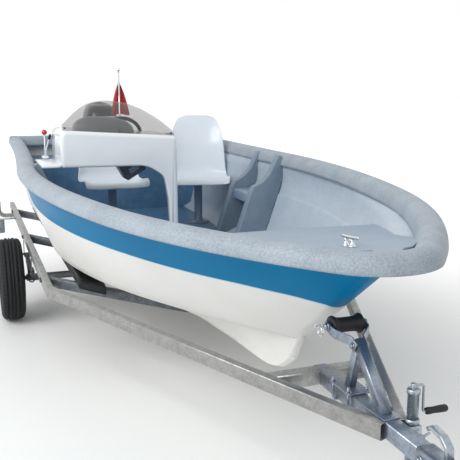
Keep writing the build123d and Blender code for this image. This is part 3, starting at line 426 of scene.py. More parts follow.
def plate(outline, thick, edge, origin, across, up, steps=3):
    """Plate of an outline (a, b) at origin + a across + b up, whose edges turn over the edge radius."""
    across, up = np.asarray(across, float), np.asarray(up, float)
    edge = min(edge, thick / 2.01)
    turn = np.linspace(0, np.pi / 2, steps)
    sine, cosine = edge * (1 - np.sin(turn)), edge * (1 - np.cos(turn))
    rows = []
    for inset, depth in zip([*sine, *cosine], [*cosine, *(thick - sine)]):
        loop = shrink_loop(outline, np.full(len(outline), inset))
        rows.append(np.asarray(origin) + loop[:, :1] * across + loop[:, 1:] * up
                    + depth * np.cross(across, up))
    return np.stack(rows), False


def box_loop(a0, b0, a1, b1, radius, steps=4):
    """Rectangle with rounded corners."""
    return rounded_loop([(a0, b0), (a1, b0), (a1, b1), (a0, b1)], radius, steps)


def tube_box(width, tall, radius, steps=4):
    """Section of a rectangular tube, about its middle."""
    return box_loop(-width / 2, -tall / 2, width / 2, tall / 2, radius, steps)


def tube_round(diameter, sides=20):
    """Section of a round tube: (r cos a, r sin a)."""
    return circle(sides) * diameter / 2


def carry(path, profile, up=EZ, flat=True):
    """A closed profile (a, b) carried along a path: P = path + a side + b top, with
    side = tangent x up. The side is widened at the mitres when the bend lies flat, else the top.
    """
    path, profile = np.asarray(path, float), np.asarray(profile, float)
    legs = unit(np.diff(path, axis=0))
    tangent = unit(np.concatenate([legs[:1], legs[:-1] + legs[1:], legs[-1:]]))
    mitre = 1 / np.sum(tangent * np.concatenate([legs[:1], legs]), axis=1, keepdims=True)
    side = unit(np.cross(tangent, up))
    top = np.cross(side, tangent)
    side, top = (side * mitre, top) if flat else (side, top * mitre)
    return path[:, None] + profile[None, :, :1] * side[:, None] + profile[None, :, 1:] * top[:, None], False


def spin(profile, origin=(0, 0, 0), axis=EZ, sides=40):
    """A profile (r, s) turned round an axis: P = origin + s axis + r (cos a e1 + sin a e2)."""
    axis, profile = unit(axis), np.asarray(profile, float)
    first = unit(np.cross(axis, EX if abs(axis[0]) < 0.9 else EY))
    turned_ring = circle(sides) @ [first, np.cross(axis, first)]
    return origin + profile[:, 1, None, None] * axis + profile[:, 0, None, None] * turned_ring, False


def hoop(centre, radius, tube, across, up, count, sides):
    """Ring of tube: P(a, b) = centre + R u(a) + r(a) (cos b u(a) + sin b n), with n = up x across."""
    u = circle(count) @ [across, up]
    section = circle(sides)
    tube = np.broadcast_to(tube, count)[:, None, None]
    out = section[:, :1] * u[:, None] + section[:, 1:] * np.cross(up, across)
    return centre + radius * u[:, None] + tube * out, True


def bolt(place, axis, across_flats=0.017, tall=0.010, washer=0.012):
    """Hexagon head with a chamfered top on a round washer, as two shells."""
    r = across_flats / math.sqrt(3)
    return [spin([(r, 0.002), (r, tall * 0.8), (r * 0.8, tall)], place, axis, 6),
            spin([(washer, 0), (washer, 0.002)], place, axis, 16)]


def bolts(places, axis, *size):
    """The shells of a bolt at each place."""
    return [shell for place in places for shell in bolt(place, axis, *size)]


def hollow_ends(shell, wall, depth=0.05, ends=(0, -1)):
    """Adds to a carried tube, at each chosen end, a rim of the wall's width and a sleeve going inside."""
    grid = shell[0]
    for end in ends:
        last, before = (grid[0], grid[1]) if end == 0 else (grid[-1], grid[-2])
        middle = last.mean(0)
        reach = np.linalg.norm(last - middle, axis=1).mean()
        rim = middle + (last - middle) * (1 - wall / reach)
        rows = np.array([rim, rim - unit(middle - before.mean(0)) * depth])
        grid = np.concatenate([rows[::-1], grid] if end == 0 else [grid, rows])
    return grid, False


# %% [markdown]
# The boat's lines are five plan curves: keel, chine, shoulder, sheer and the rail's outer edge.
# Each is a chain of four arcs that leave one another without a kink, and lies on a tilted plane.
# %% Plan curves
PLANS = {name: dict(tip=tip, radius=radius, turn=math.radians(turn), corners=corners, level=level)
         for name, tip, radius, turn, corners, level in (
    ("keel", 1.757, 0.024, 88.5, [(0.7, 0.045), (-0.6, 0.07), (-2.45, 0.074)], (0.33, 0.0)),
    ("chine", 1.852, 0.052, 57, [(1.05, 0.468), (-0.667, 0.738), (-2.48, 0.725)], (0.596, 0.014)),
    ("shoulder", 2.42, 0.075, 47, [(1.378, 0.684), (-0.464, 0.899), (-2.547, 0.83)], (1.0546, -0.0074)),
    ("sheer", 2.53, 0.21, 49, [(1.44, 0.725), (-0.425, 0.93), (-2.56, 0.85)], (1.142, -0.0115)),
    ("rail", 2.58, 0.26, 49, [(1.425, 0.77), (-0.425, 0.96), (-2.575, 0.88)], (1.15, -0.0115)))}
STATIONS = np.concatenate([np.linspace(0, 1, 20, endpoint=False), np.linspace(1, 2, 26, endpoint=False),
                           np.linspace(2, 3, 24, endpoint=False), np.linspace(3, 4, 25)])


def turned(vector, angle):
    """(x cos a - y sin a, x sin a + y cos a) for an array of angles."""
    c, s = np.cos(angle), np.sin(angle)
    return np.stack([c * vector[0] - s * vector[1], s * vector[0] + c * vector[1]], -1)


def plan_curve(name, t=STATIONS, inset=0.0, raise_by=0.0):
    """Points at t = 0 (stem) to 4 (transom corner) on the port side.

    On one arc from A with heading h, the chord c to its end makes the angle a with h, and
    P(s) = A + |c| sin(s a) / sin(a) * (h turned by s a). The inset goes along the inward normal.
    """
    plan = PLANS[name]
    tip, r, turn = plan["tip"], plan["radius"], plan["turn"]
    corners = np.array([(tip, 0.0), (tip - r * (1 - math.cos(turn)), r * math.sin(turn)), *plan["corners"]])
    place, heading_at = np.zeros(t.shape + (2,)), np.zeros(t.shape + (2,))
    heading = np.array([0.0, 1.0])
    for k in range(4):
        chord = corners[k + 1] - corners[k]
        angle = np.arctan2(heading[0] * chord[1] - heading[1] * chord[0], heading @ chord)
        on = (t >= k) & (t <= k + 1)
        s = t[on] - k
        reach = np.hypot(*chord) * (s if abs(angle) < 1e-9 else np.sin(s * angle) / np.sin(angle))
        place[on] = corners[k] + reach[:, None] * turned(heading, s * angle)
        heading_at[on] = turned(heading, 2 * s * angle)
        heading = turned(heading, 2 * angle)
    inward = np.stack([-heading_at[..., 1], heading_at[..., 0]], -1)
    place = place + inward * np.broadcast_to(inset, t.shape)[:, None]
    z = plan["level"][0] + plan["level"][1] * place[..., 0] + raise_by
    return np.concatenate([place, z[..., None]], -1)


def both_sides(rings):
    """Port rings of stations (ring, station, xyz) continued to starboard by mirroring y."""
    return np.concatenate([rings[:, :0:-1] * (1, -1, 1), rings], 1)


def section_at(rings, x):
    """Half-breadths and heights of port rings at x, from the lowest ring up."""
    return [[np.interp(x, ring[::-1, 0], ring[::-1, axis]) for ring in rings[::-1]] for axis in (1, 2)]


def half_width(rings, x, z):
    """Half-breadth of port rings at (x, z)."""
    across, heights = section_at(rings, x)
    return np.interp(z, heights, across)


print("plan curves:", *PLANS)


# %% [markdown]
# The hull's outside is one grid: rings from the rail down to the keel. The topsides flare out at
# the bow, end in a soft chine that turns under by 35 mm, and the vee bottom fades into a rounded
# forefoot. The stripe's lower edge is a curve on this skin. Aft, the shoulder runs 20 mm inside the
# sheer and the chine runs straight, so the side stays outside the aft deck.
# %% Hull skin
chine, shoulder, sheer, keel = (plan_curve(n) for n in ("chine", "shoulder", "sheer", "keel"))
shoulder[:, 1] += (plan_curve("sheer", inset=0.020)[:, 1] - shoulder[:, 1]) * smoothstep(2.3, 3.2, STATIONS)
straight = np.interp(-chine[:, 0], [0.667, 2.48], [0.738, 0.725])
chine_out = (straight - chine[:, 1]) * smoothstep(3.0, 3.3, STATIONS)
chine[:, 1] += chine_out
SHOULDER = 0.84


def side_between(low, middle, high, share):
    """Rows low + s/q (middle - low) up to the shoulder at q = 0.84; above it, with u from 0 to 1,
    the plan moves out by sqrt(u) and the height by u^2, so the skin runs out under the rail
    before it turns up.
    """
    share = share[:, None, None]
    lower = low + share / SHOULDER * (middle - low)
    u = np.clip((share - SHOULDER) / (1 - SHOULDER), 0, 1)
    upper = middle + np.concatenate([u ** 0.5, u ** 0.5, u ** 2], -1) * (high - middle)
    return np.where(share <= SHOULDER, lower, upper)


CHINE_FLAT, BELLY, HOLLOW = 0.04, 0.012, 0.012
FOOT_X = [0.55, 0.80, 1.00, 1.20, 1.35, 1.45, 1.53, 1.60, 1.66, 1.71, 1.755]
FOOT_Z = [0.33, 0.340, 0.358, 0.372, 0.379, 0.384, 0.392, 0.406, 0.433, 0.465, 0.502]
HOLLOW_IN = [0, 0.15, 0.32, 0.48, 0.63, 0.76, 0.87, 0.95, 1]
HOLLOW_DOWN = [0, 0.07, 0.17, 0.28, 0.41, 0.55, 0.71, 0.87, 1]
SIDE_SHARE = np.array([1, 0.95, 0.90, 0.84, 0.79, 0.73, 0.67, 0.60, 0.52, 0.44, 0.36, 0.27, 0.18, 0.09, 0])
keel[:, 2] = np.interp(keel[:, 0], FOOT_X, FOOT_Z)
side = side_between(chine, shoulder, sheer, SIDE_SHARE)
side[..., 1] += BELLY * np.sin(np.pi * SIDE_SHARE)[:, None] * smoothstep(1.2, 2.5, STATIONS)
flat = CHINE_FLAT * smoothstep(0.15, 1.3, STATIONS)
under = plan_curve("chine", inset=flat) - np.stack([0 * flat, -chine_out, 0.25 * flat], -1)
lip = 0.5 * (chine + under) - (0, 0, 0.008)
down = np.linspace(0, 1, 9)[:, None]
hollow = smoothstep(2.35, 1.5, STATIONS)
share_in = down * (1 - hollow) + np.array(HOLLOW_IN)[:, None] * hollow
share_down = down * (1 - hollow) + np.array(HOLLOW_DOWN)[:, None] * hollow
bottom = under + np.stack([down + 0 * share_in, share_in, share_down], -1) * (keel - under)
bottom[..., 2] -= HOLLOW * np.sin(np.pi * down) * (1 - hollow)
nose = smoothstep(0.9, 1.5, keel[:, 0])[:, None]
middle = keel * (1, 0, 1) + nose * (0.007, 0, -0.007)
rings = np.concatenate([side, lip[None], bottom, middle[None]])
STRIPE_AT = [0, 0.5, 1.0, 1.15, 1.38, 1.62, 1.85, 2.2, 2.6, 3.0, 3.5, 4.0]
STRIPE_LOW = [0.42, 0.43, 0.447, 0.485, 0.51, 0.52, 0.535, 0.56, 0.60, 0.64, 0.66, 0.66]
edge_height = chine[:, 2] + np.interp(STATIONS, STRIPE_AT, STRIPE_LOW) * (sheer - chine)[:, 2]
over_edge = rings[..., 2] - edge_height
skin = sheet_piece("hull_skin", both_sides(rings), hull_gelcoat, "white_gelcoat", flip=True,
                   replaces="hull_shell",
                   band=np.concatenate([over_edge[:, :0:-1], over_edge], 1).ravel())
sharpen(skin, 62)
print("hull skin", rings.shape)

# %% [markdown]
# The transom is a thick flat plate that leans back, notched for the motor.
# %% Transom
LEAN, NOTCH, NOTCH_LOW, KEEL_Z = 0.13, 0.29, 0.862, 0.33
slope = math.hypot(1, LEAN)
half_outline = [(p[1], (p[2] - KEEL_Z) * slope) for p in (keel[-1], chine[-1], sheer[-1])]
half_outline += [(NOTCH, half_outline[-1][1]), (NOTCH, (NOTCH_LOW - KEEL_Z) * slope)]
loop = rounded_loop(half_outline + [(-y, z) for y, z in half_outline[::-1]],
                    [0.01, 0.03, 0.01, 0.04, 0.07, 0.07, 0.04, 0.01, 0.03, 0.01], 6)
board = plate(loop, 0.04, 0.006, (-2.452, 0, KEEL_Z), (0, -1, 0), np.array([-LEAN, 0, 1]) / slope)
shell_piece("transom_skin", [board], hull_gelcoat, "white_gelcoat",
            band=np.full(board[0][..., 0].size, -1.0))

# %% [markdown]
# The rail is a broad rolled flange. One rounded section is carried round the bow from one side
# of the motor's notch to the other, inset from the rail's plan and raised from its level.
# %% Rail
RAIL_SECTION = np.array([
    (0.018, -0.050), (0.008, -0.064), (0.002, -0.064), (0.000, -0.056), (0.002, -0.042), (0.006, -0.028),
    (0.013, -0.015), (0.024, -0.006), (0.038, 0.000), (0.054, 0.002), (0.070, 0.001), (0.085, -0.004),
    (0.098, -0.013), (0.108, -0.026), (0.115, -0.044), (0.120, -0.066), (0.123, -0.082), (0.112, -0.084),
    (0.105, -0.060), (0.060, -0.022), (0.026, -0.028)])
rail_edge = plan_curve("rail", STATIONS[:-1])
corner = bend_path([rail_edge[-1], (-2.575, 0.88, 0), (-2.575, NOTCH + 0.005, 0)], 0.13, 9)[1:]
route = both_sides(np.concatenate([rail_edge, corner])[None] * (1, 1, 0))[0]
along = unit(np.gradient(route, axis=0))
rail_xy = route[:, None] + RAIL_SECTION[:, :1] * np.cross(EZ, along)[:, None]
rail_z = 1.15 - 0.0115 * rail_xy[..., :1] + RAIL_SECTION[:, 1:]
shell_piece("gunwale_roll", [(rail_xy + rail_z * EZ, False)], rail_coat, "grey_gelcoat",
            replaces="gunwale_rail")
print("rail", rail_xy.shape)

# %% [markdown]
# The liner starts at the rail's inner edge, curves out to the hull's side and runs down to the
# sole, with a small step at half height where two mouldings meet.
# %% Liner
WALL, STEP = 0.016, 0.008
share = np.array([1, 0.97, 0.93, 0.88, 0.82, 0.75, 0.68, 0.60, 0.52, 0.505, 0.495, 0.48, 0.40, 0.30, 0.20,
                  0.10, 0.0])
liner_top = plan_curve("rail", inset=0.121, raise_by=-0.080)
wall = side_between(plan_curve("chine", inset=WALL, raise_by=0.012), plan_curve("shoulder", inset=WALL),
                    plan_curve("sheer", inset=WALL), share)
pull = np.clip((share - 0.60) / 0.40, 0, 1)[:, None, None] ** 1.5
wall = wall + pull * (liner_top - wall[0]) * (1, 1, 0)
wall[..., 2] = np.minimum(wall[..., 2], liner_top[:, 2])
wall[0] = liner_top
wall[..., :2] *= 1 - np.where(share < 0.5, STEP, 0.0)[:, None, None]
liner_rings = np.concatenate([wall, bottom[1:4] * (1, 0.985, 1) + (0, 0, WALL)])
sheet_piece("hull_liner", both_sides(liner_rings), liner_coat, "blue_liner")
print("liner", liner_rings.shape)

# %% [markdown]
# The foredeck is a flat tray that rises to the bow. Its edge meets the liner in a cove, so each
# row runs from side to side and curls up along its last 60 mm. Its aft edge turns down.
# %% Foredeck
DECK_AFT_X, DECK_AFT_Z, DECK_RISE, CAMBER = 1.30, 0.96, 0.1252, 0.010
deck_x = np.concatenate([[1.306, 1.300, 1.302], np.linspace(1.31, 2.452, 40)])
turned_down = np.concatenate([[0.045, 0.018, 0.004], np.zeros(40)])
deck_z = DECK_AFT_Z + DECK_RISE * (deck_x - DECK_AFT_X) - turned_down
rail_inside = plan_curve("rail", inset=0.108)
rail_half = np.interp(deck_x, rail_inside[::-1, 0], rail_inside[::-1, 1])
cove_r = np.clip(0.8 * (1.045 - deck_z - turned_down), 0.012, 0.055)
on_liner = np.array([half_width(liner_rings, x, z + 0.6 * r) + 0.012 for x, z,
                     r in zip(deck_x, deck_z, cove_r)])
deck_half = np.maximum(np.minimum(on_liner, rail_half), 0.01)
cove = np.linspace(0, 1, 6) * np.pi / 2
inner = np.maximum(deck_half - cove_r, 0)[:, None] * np.linspace(0, 1, 9)[:-1]
outer = np.maximum(deck_half[:, None] - cove_r[:, None] * (1 - np.sin(cove)), 0)
half_y = np.concatenate([inner, outer], 1)
lift = np.concatenate([0 * inner, cove_r[:, None] * (1 - np.cos(cove))], 1)
half_z = deck_z[:, None] + lift - CAMBER * (half_y / 0.7) ** 2
deck_rows = np.stack([np.repeat(deck_x[:, None], half_y.shape[1], 1), half_y, half_z], -1)
sheet_piece("foredeck_tray", both_sides(deck_rows), deck_coat_painted_shade, "grey_gelcoat", thick=0.006,
            replaces="fore_deck")
print("deck half-width at its aft edge", deck_half[3].round(3))

# %% [markdown]
# Two ribs on each side are moulded fins with rounded backs; a pale block sits between them.
# %% Side ribs and blocks
FIN_EDGE = [(0.872, 1.128), (0.832, 1.150), (0.806, 1.108), (0.765, 1.020), (0.706, 0.958), (0.640, 0.926),
            (0.620, 0.890), (0.500, 0.5408), (0.600, 0.5408)]
FIN_RADII = [0.014, 0.016, 0.05, 0.12, 0.12, 0.02, 0.03, 0.014, 0.014, 0.014, 0.014]
FIN_THICK, FIN_XS = 0.07, (-0.76, -0.38)


def fin(x, way):
    """A fin across the boat with rounded edges; its outer edge follows the hull's wall inside."""
    chine_y, sheer_y = (np.interp(x, line[::-1, 0], line[::-1, 1]) for line in (chine, sheer))
    loop = rounded_loop(FIN_EDGE + [(chine_y - 0.022, 0.604), (sheer_y - 0.032, 1.085)], FIN_RADII, 6)
    return plate(loop, FIN_THICK, 0.008, (x - FIN_THICK / 2 * way, 0, 0), way * EY, EZ, 4)


for name, way in (("port", 1), ("starboard", -1)):
    shell_piece(f"side_fins_{name}", [fin(x, way) for x in FIN_XS], rib_coat, "blue_liner",
                replaces=f"side_ribs_{name}")
    block = plate(rounded_loop([(0.622, 0.800), (0.80, 0.800), (0.83, 0.872), (0.628, 0.872)], 0.008, 4),
                  0.330, 0.006,
                  (-0.57 - 0.165 * way, 0, 0), way * EY, EZ)
    shell_piece(f"rib_block_{name}", [block], deck_coat_painted_shade, "blue_liner")

# %% [markdown]
# The aft deck and its well are plain flat mouldings, so the solid stays and only takes its
# finish. The sole is one flat board up to the liner. Both take a darker, bluer tone of the
# liner's resin, partly painted shade for the shadow that fills the cockpit.
# %% Aft deck and sole
SOLE_Z = 0.5402


def finish(node, material):
    """Gives a solid of the frame its finish."""
    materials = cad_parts[node].data.materials
    materials.clear()
    materials.append(material)
    print("solid", node, "in", material.name)


finish("aft_deck", sole_coat_painted_shade)
sole_x = np.linspace(-2.43, 1.36, 60)
sole_half = np.array([min(half_width(liner_rings, x, 0.545) + 0.004, half_width(bottom, x, 0.528) - 0.010)
                      for x in sole_x])
sole_y = sole_half[:, None] * np.linspace(-1, 1, 9)
sole = np.stack([np.repeat(sole_x[:, None], 9, 1), sole_y, np.full_like(sole_y, SOLE_Z)], -1)
sheet_piece("sole_board", sole, sole_coat_painted_shade, "blue_liner", thick=0.010, replaces="cockpit_sole")

# %% [markdown]
# The console is one white moulding, open behind. Its outline as seen from ahead is an inverted
# L: a wide box with one leg to port. The front rolls over a 28 mm radius into a skirt, and the
# skirt's depth changes along the outline: deep on the outside, a short return on the inside.
# %% Console
CON_FRONT, CON_TOP, CON_FALL = -0.325, 1.352, 0.0649
CON_START = (-0.69, 1.112)
CON_CORNERS = [CON_START, (-0.686, CON_TOP), (0.080, 1.302), (0.086, 0.541), (0.030, 0.541), (0.020, 0.86),
               (-0.010, 1.035), (-0.125, 1.108)]
con_loop = rounded_loop(CON_CORNERS, [0.02, 0.045, 0.03, 0.004, 0.004, 0.25, 0.10, 0.16], 8)[::-1]
con_loop = np.roll(con_loop, -np.argmin(np.linalg.norm(con_loop - CON_START, axis=1)), 0)
y, z = con_loop.T
is_outside = (y < -0.67) | (z > 1.26) | (y > 0.074)
skirt = np.where(is_outside, np.where(y > 0.07, 0.15 + 0.35 * smoothstep(0.95, 1.14, z), 0.5), 0.022)
skirt = np.where(~is_outside & (z < 1.03), 0.05, skirt)
skirt = np.convolve(np.pad(skirt, 1, mode="wrap"), [0.15, 0.7, 0.15], "valid")
inner_share = np.convolve(np.pad((~is_outside).astype(float), 3, mode="wrap"), np.full(7, 1 / 7), "valid")
roll = 0.028 - 0.018 * inner_share
rolled = [(1 - math.sin(a), 1 - math.cos(a), 0.0) for a in np.linspace(0, np.pi / 2, 7)]
con_rows = []
for inset, back, along_skirt in rolled + [(0.0, 1.0, s) for s in (0.05, 0.3, 0.6, 1.0)]:
    x = CON_FRONT - back * roll - along_skirt * np.maximum(skirt - roll, 0.004)
    con_rows.append(np.column_stack([x, shrink_loop(con_loop, inset * roll)]))
con_grid = np.stack(con_rows)
faces = grid_faces(*con_grid.shape[:2], False, True).tolist() + [list(range(con_grid.shape[1]))]
console = make_piece("console_moulding", con_grid.reshape(-1, 3), faces, console_white, "white_gelcoat",
                     closed=True,
                     replaces="console_body")
sharpen(console, 30)
thicken(console, 0.006)
print("console", con_grid.shape)

# %% [markdown]
# Beside the console a small shelf carries the two control levers.
# %% Shelf and levers
LEVER_FOOT = np.array([-0.85, -0.735, 1.130])
shelf = plate(box_loop(-0.80, -0.812, -0.345, -0.688, 0.012), 0.018, 0.006, (0, 0, 1.112), EX, EY)
shell_piece("console_side_shelf", [shelf], console_white, "white_gelcoat", replaces="console_shelf")
base = plate(box_loop(-0.045, -0.022, 0.045, 0.022, 0.012), 0.016, 0.004, LEVER_FOOT, EX, EY)
near_shaft = carry(LEVER_FOOT + [(0, 0, 0.010), (0.006, 0, 0.08), (0.012, 0, 0.168)], tube_round(0.010, 12),
                   EY)
far_shaft = carry(bend_path(LEVER_FOOT + [(-0.03, 0.012, 0.010), (-0.032, 0.012, 0.06),
                                          (-0.036, 0.036, 0.135)], 0.05),
                  tube_round(0.010, 12), EX)
far_grip = spin([(0.006, 0), (0.009, 0.004), (0.010, 0.02), (0.008, 0.036), (0.003, 0.04)],
                LEVER_FOOT + (-0.036, 0.034, 0.128), (-0.03, 0.3, 1), 16)
shell_piece("control_lever_shafts", [base, near_shaft, far_shaft], seat_white, "white_seat",
            replaces="control_levers")
shell_piece("control_lever_grip", [far_grip], black_abs, "black_plastic")


def ball(radius, low, high, count):
    """Profile of a ball between two angles from its waist."""
    a = np.linspace(low, high, count)
    return radius * np.stack([np.cos(a), np.sin(a)], 1)


knob = ball(0.019, -np.pi / 2 + 0.05, np.pi / 2, 14)
knob[-1, 0] = 0.0005
shell_piece("control_lever_knob", [spin(knob, LEVER_FOOT + (0.013, 0, 0.182), EZ, 24)], red_knob,
            "red_cloth")

# %% [markdown]
# The screen is one smoked acrylic sheet, heat-formed over a drape mould. Its foot follows the
# console's front edge; from there it leans back, bulges and ends in an arched edge.
# %% Windscreen
FOOT_Y, FOOT_SPAN = -0.672, 0.736
us, vs = np.linspace(0, 1, 49)[:, None], np.linspace(0, 1, 17)[None]
foot_y = FOOT_Y + us * FOOT_SPAN
arch = np.interp(us, [0, 0.06, 0.16, 0.23, 0.34, 0.45, 0.55, 0.66, 0.77, 0.88, 0.96, 1.0],
                 [0.03, 0.33, 0.68, 0.83, 0.96, 1.0, 0.99, 0.93, 0.79, 0.54, 0.28, 0.04])
arch = np.convolve(np.pad(arch[:, 0], 2, mode="edge"), [0.1, 0.22, 0.36, 0.22, 0.1], "valid")[:, None]
screen_x = CON_FRONT - 0.012 - 0.235 * arch * (vs ** 1.25) - 0.05 * (1 - arch) * vs - 0.012 * (1 - vs)
screen_y = foot_y * (1 - 0.10 * vs * arch) - 0.03 * vs * arch
screen_z = 1.353 - (foot_y + 0.69) * CON_FALL + (0.018 + 0.182 * arch) * (0.55 * np.sin(np.pi * vs / 2)
                                                                          + 0.45 * vs)
sheet_piece("windscreen_sheet", np.stack(np.broadcast_arrays(screen_x, screen_y, screen_z), -1), smoked,
            "smoked_screen", thick=0.004, middle=True, replaces="windscreen")
screws = [spin([(0.007, 0), (0.007, 0.002), (0.004, 0.0035), (0.0005, 0.004)],
               (CON_FRONT - 0.018, FOOT_Y + u * FOOT_SPAN, 1.367 - (0.018 + u * FOOT_SPAN) * CON_FALL),
               (0.75, 0, 0.65), 14) for u in (0.02, 0.5, 0.97)]
shell_piece("windscreen_screws", screws, black_abs, "black_plastic")

# %% [markdown]
# Behind the screen a grey hood shades the gauges, and the steering gear's black box hangs below.
# %% Hood and helm box
HOOD_X, HOOD_Y, HOOD_LONG, HOOD_WIDE, HOOD_TALL = -0.49, -0.385, 0.105, 0.205, 0.100
phi = np.linspace(0, 1, 15)[1:, None]
radial = np.sin(phi * np.pi / 2) ** 0.8
hx, hy = HOOD_X + HOOD_LONG * circle(48, 3)[:, 0] * radial, HOOD_Y + HOOD_WIDE * circle(48, 3)[:, 1] * radial
dome = HOOD_TALL * np.sqrt(np.clip(1 - radial ** 3.0, 0, 1)) * (1 + 0.25 * (hx + 0.39))
hz = np.where(phi > 0.99, 1.30, CON_TOP - (hy + 0.69) * CON_FALL + dome)
shell_piece("instrument_hood", [(np.stack([hx, hy, hz], -1), False)], grey_abs, "grey_plastic",
            replaces="dash_hood")
helm_side = rounded_loop([(-0.42, 1.30), (-0.42, 1.13), (-0.62, 1.115), (-0.70, 1.13), (-0.70, 1.30)], 0.02,
                         5)
helm = plate(helm_side, 0.21, 0.012, (0, -0.095, 0), EX, EZ, 4)
LOW_CORNER, HELM_TILT = np.array([-0.232, 0.994]), math.radians(31)


def on_helm(a0, b0, a1, b1, radius, steps):
    """Rounded box (a, b) along and up the tilted helm box, measured from its lowest corner, as (y, z)."""
    corners = np.array([(a0, b0), (a1, b0), (a1, b1), (a0, b1)])
    axes = np.array([turned((1.0, 0.0), HELM_TILT), turned((0.0, 1.0), HELM_TILT)])
    return rounded_loop(LOW_CORNER + corners @ axes, radius, steps)


gear_case = plate(on_helm(0, 0, 0.155, 0.17, 0.012, 4), 0.17, 0.006, (-0.64, 0, 0), EY, EZ)
shell_piece("helm_gear_box", [helm, gear_case], grey_case, "black_plastic", replaces="helm_box")
label = plate(on_helm(0.045, 0.030, 0.115, 0.066, 0.004, 3), 0.003, 0.0008, (-0.471, 0, 0), EY, EZ)
shell_piece("helm_blank_plate", [label], pale_label, "black_plastic")

# %% [markdown]
# Each seat is one white plastic tub: a back that leans, a tight turn at the hip and a pan whose
# front rolls down. The side profile is swept across the width, and both side edges curl forward
# and down over 30 mm, so the tub reads as a shell and not as a bent plate.
# %% Seats
SEAT_SPINE = [(-0.262, 0, 1.388), (-0.205, 0, 1.16), (-0.178, 0, 0.872), (0.02, 0, 0.876), (0.225, 0, 0.908),
              (0.246, 0, 0.872)]
SEAT_AT = [0, 0.006, 0.014, 0.026, 0.042, 0.07, 0.11, 0.18, 0.28, 0.42, 0.55, 0.84, 0.92, 0.97]
SEAT_HALF = [0.085, 0.110, 0.131, 0.150, 0.165, 0.181, 0.193, 0.206, 0.219, 0.230, 0.242, 0.244, 0.238,
             0.220]
SEATS = (("driver", (-1.225, -0.200), 0.0), ("passenger", (-1.215, 0.498), math.radians(-15)))


def seat_tub(who, place, turn):
    """Profile in (x, z) from the back's top to the front lip, swept over y with curled sides.

    P(s, w) = profile(s) + half(s) w along y, pushed along the profile's normal by the curl, then
    turned about the post.
    """
    spine = bend_path(SEAT_SPINE, 0.10, 9)
    steps = np.concatenate([[0], np.cumsum(np.linalg.norm(np.diff(spine, axis=0), axis=1))])
    s = np.concatenate([SEAT_AT[:5], np.linspace(0.062, steps[-1], 44)])
    line = np.stack([np.interp(s, steps, spine[:, i]) for i in range(3)], 1)
    for _ in range(2):
        line[6:-1] = 0.25 * line[5:-2] + 0.5 * line[6:-1] + 0.25 * line[7:]
    normal = np.cross(unit(np.gradient(line, axis=0)), EY)
    w = np.sin(np.linspace(-np.pi / 2, np.pi / 2, 37))
    half = np.interp(s, SEAT_AT, SEAT_HALF)
    on_back, on_pan = smoothstep(0.60, 0.40, s)[:, None], smoothstep(0.45, 0.6, s)[:, None]
    curl = (0.055 * np.abs(w) ** 3.2 * on_back + 0.032 * np.abs(w) ** 6 * on_pan) * smoothstep(1.0, 0.88,
                                                                                               s)[:, None]
    curl = curl * smoothstep(0.0, 0.25, s)[:, None]
    grid = line[:, None] + w[:, None] * half[:, None, None] * EY + curl[..., None] * normal[:, None]
    grid = np.concatenate([turned((grid[..., 0], grid[..., 1]), turn), grid[..., 2:]], -1)
    tub = sheet_piece(f"{who}_seat_tub", grid + (*place, 0), seat_white, "white_seat", thick=0.010,
                      middle=True,
                      replaces=f"{who}_seat")
    edge = tub.modifiers.new("edge", "BEVEL")
    edge.width, edge.segments, edge.limit_method, edge.angle_limit = 0.003, 2, "ANGLE", math.radians(50)


def seat_stem(who, place):
    """Round post with a swivel plate above and a flange screwed to the sole."""
    post = spin([(0.090, 0), (0.090, 0.005), (0.040, 0.009), (0.033, 0.020), (0.033, 0.300), (0.040, 0.312),
                 (0.090, 0.318), (0.100, 0.328)], (*place, 0.5405), EZ, 32)
    screws = bolts([(*(place + turned((0.070, 0), k * 1.571 + 0.785)), 0.5455) for k in range(4)], EZ, 0.010,
                   0.004,
                   0.007)
    shell_piece(f"{who}_stem", [post, *screws], grey_paint, "grey_post", replaces=f"{who}_seat_post")


for who, place, turn in SEATS:
    seat_tub(who, place, turn)
for who, place, turn in SEATS:
    seat_stem(who, place)

# %% [markdown]
# The wheel is a soft black rim on three flat spokes. It stands on the helm's shaft.
# %% Steering wheel
WHEEL_AT, WHEEL_AXIS = np.array([-0.905, -0.200, 1.262]), unit([-0.87, 0, 0.5])
up_way = np.cross(EY, WHEEL_AXIS)
grip = 0.0135 * (1 + 0.06 * np.cos(24 * np.linspace(0, 2 * np.pi, 72, endpoint=False)))
helm = [hoop(WHEEL_AT, 0.162, grip, EY, up_way, 72, 16)]
helm += [spin(profile, WHEEL_AT, WHEEL_AXIS, sides) for profile, sides in (
    ([(0.042, -0.012), (0.044, 0.004), (0.036, 0.016), (0.018, 0.021), (0.002, 0.022)], 32),
    ([(0.013, -0.300), (0.013, -0.02), (0.02, -0.01)], 16),
    ([(0.045, -0.300), (0.045, -0.270), (0.030, -0.255), (0.020, -0.25)], 24))]
stops = np.array([0.03, 0.06, 0.10, 0.14, 0.160])[:, None, None]
wide = np.array([1.35, 1.0, 0.85, 0.9, 1.2])[:, None, None]
sag = -0.006 * np.sin(np.pi * (stops - 0.03) / 0.13)
oval = circle(16) * (0.013, 0.004)
for angle in (90, 210, 330):
    d = turned((1, 0), math.radians(angle)) @ [EY, up_way]
    helm.append((WHEEL_AT + stops * d + sag * WHEEL_AXIS + wide * oval[:, :1] * np.cross(WHEEL_AXIS, d)
                 + oval[:, 1:] * WHEEL_AXIS, False))
shell_piece("helm_wheel", helm, black_abs, "black_plastic", body="steering_wheel", replaces="steering_wheel")

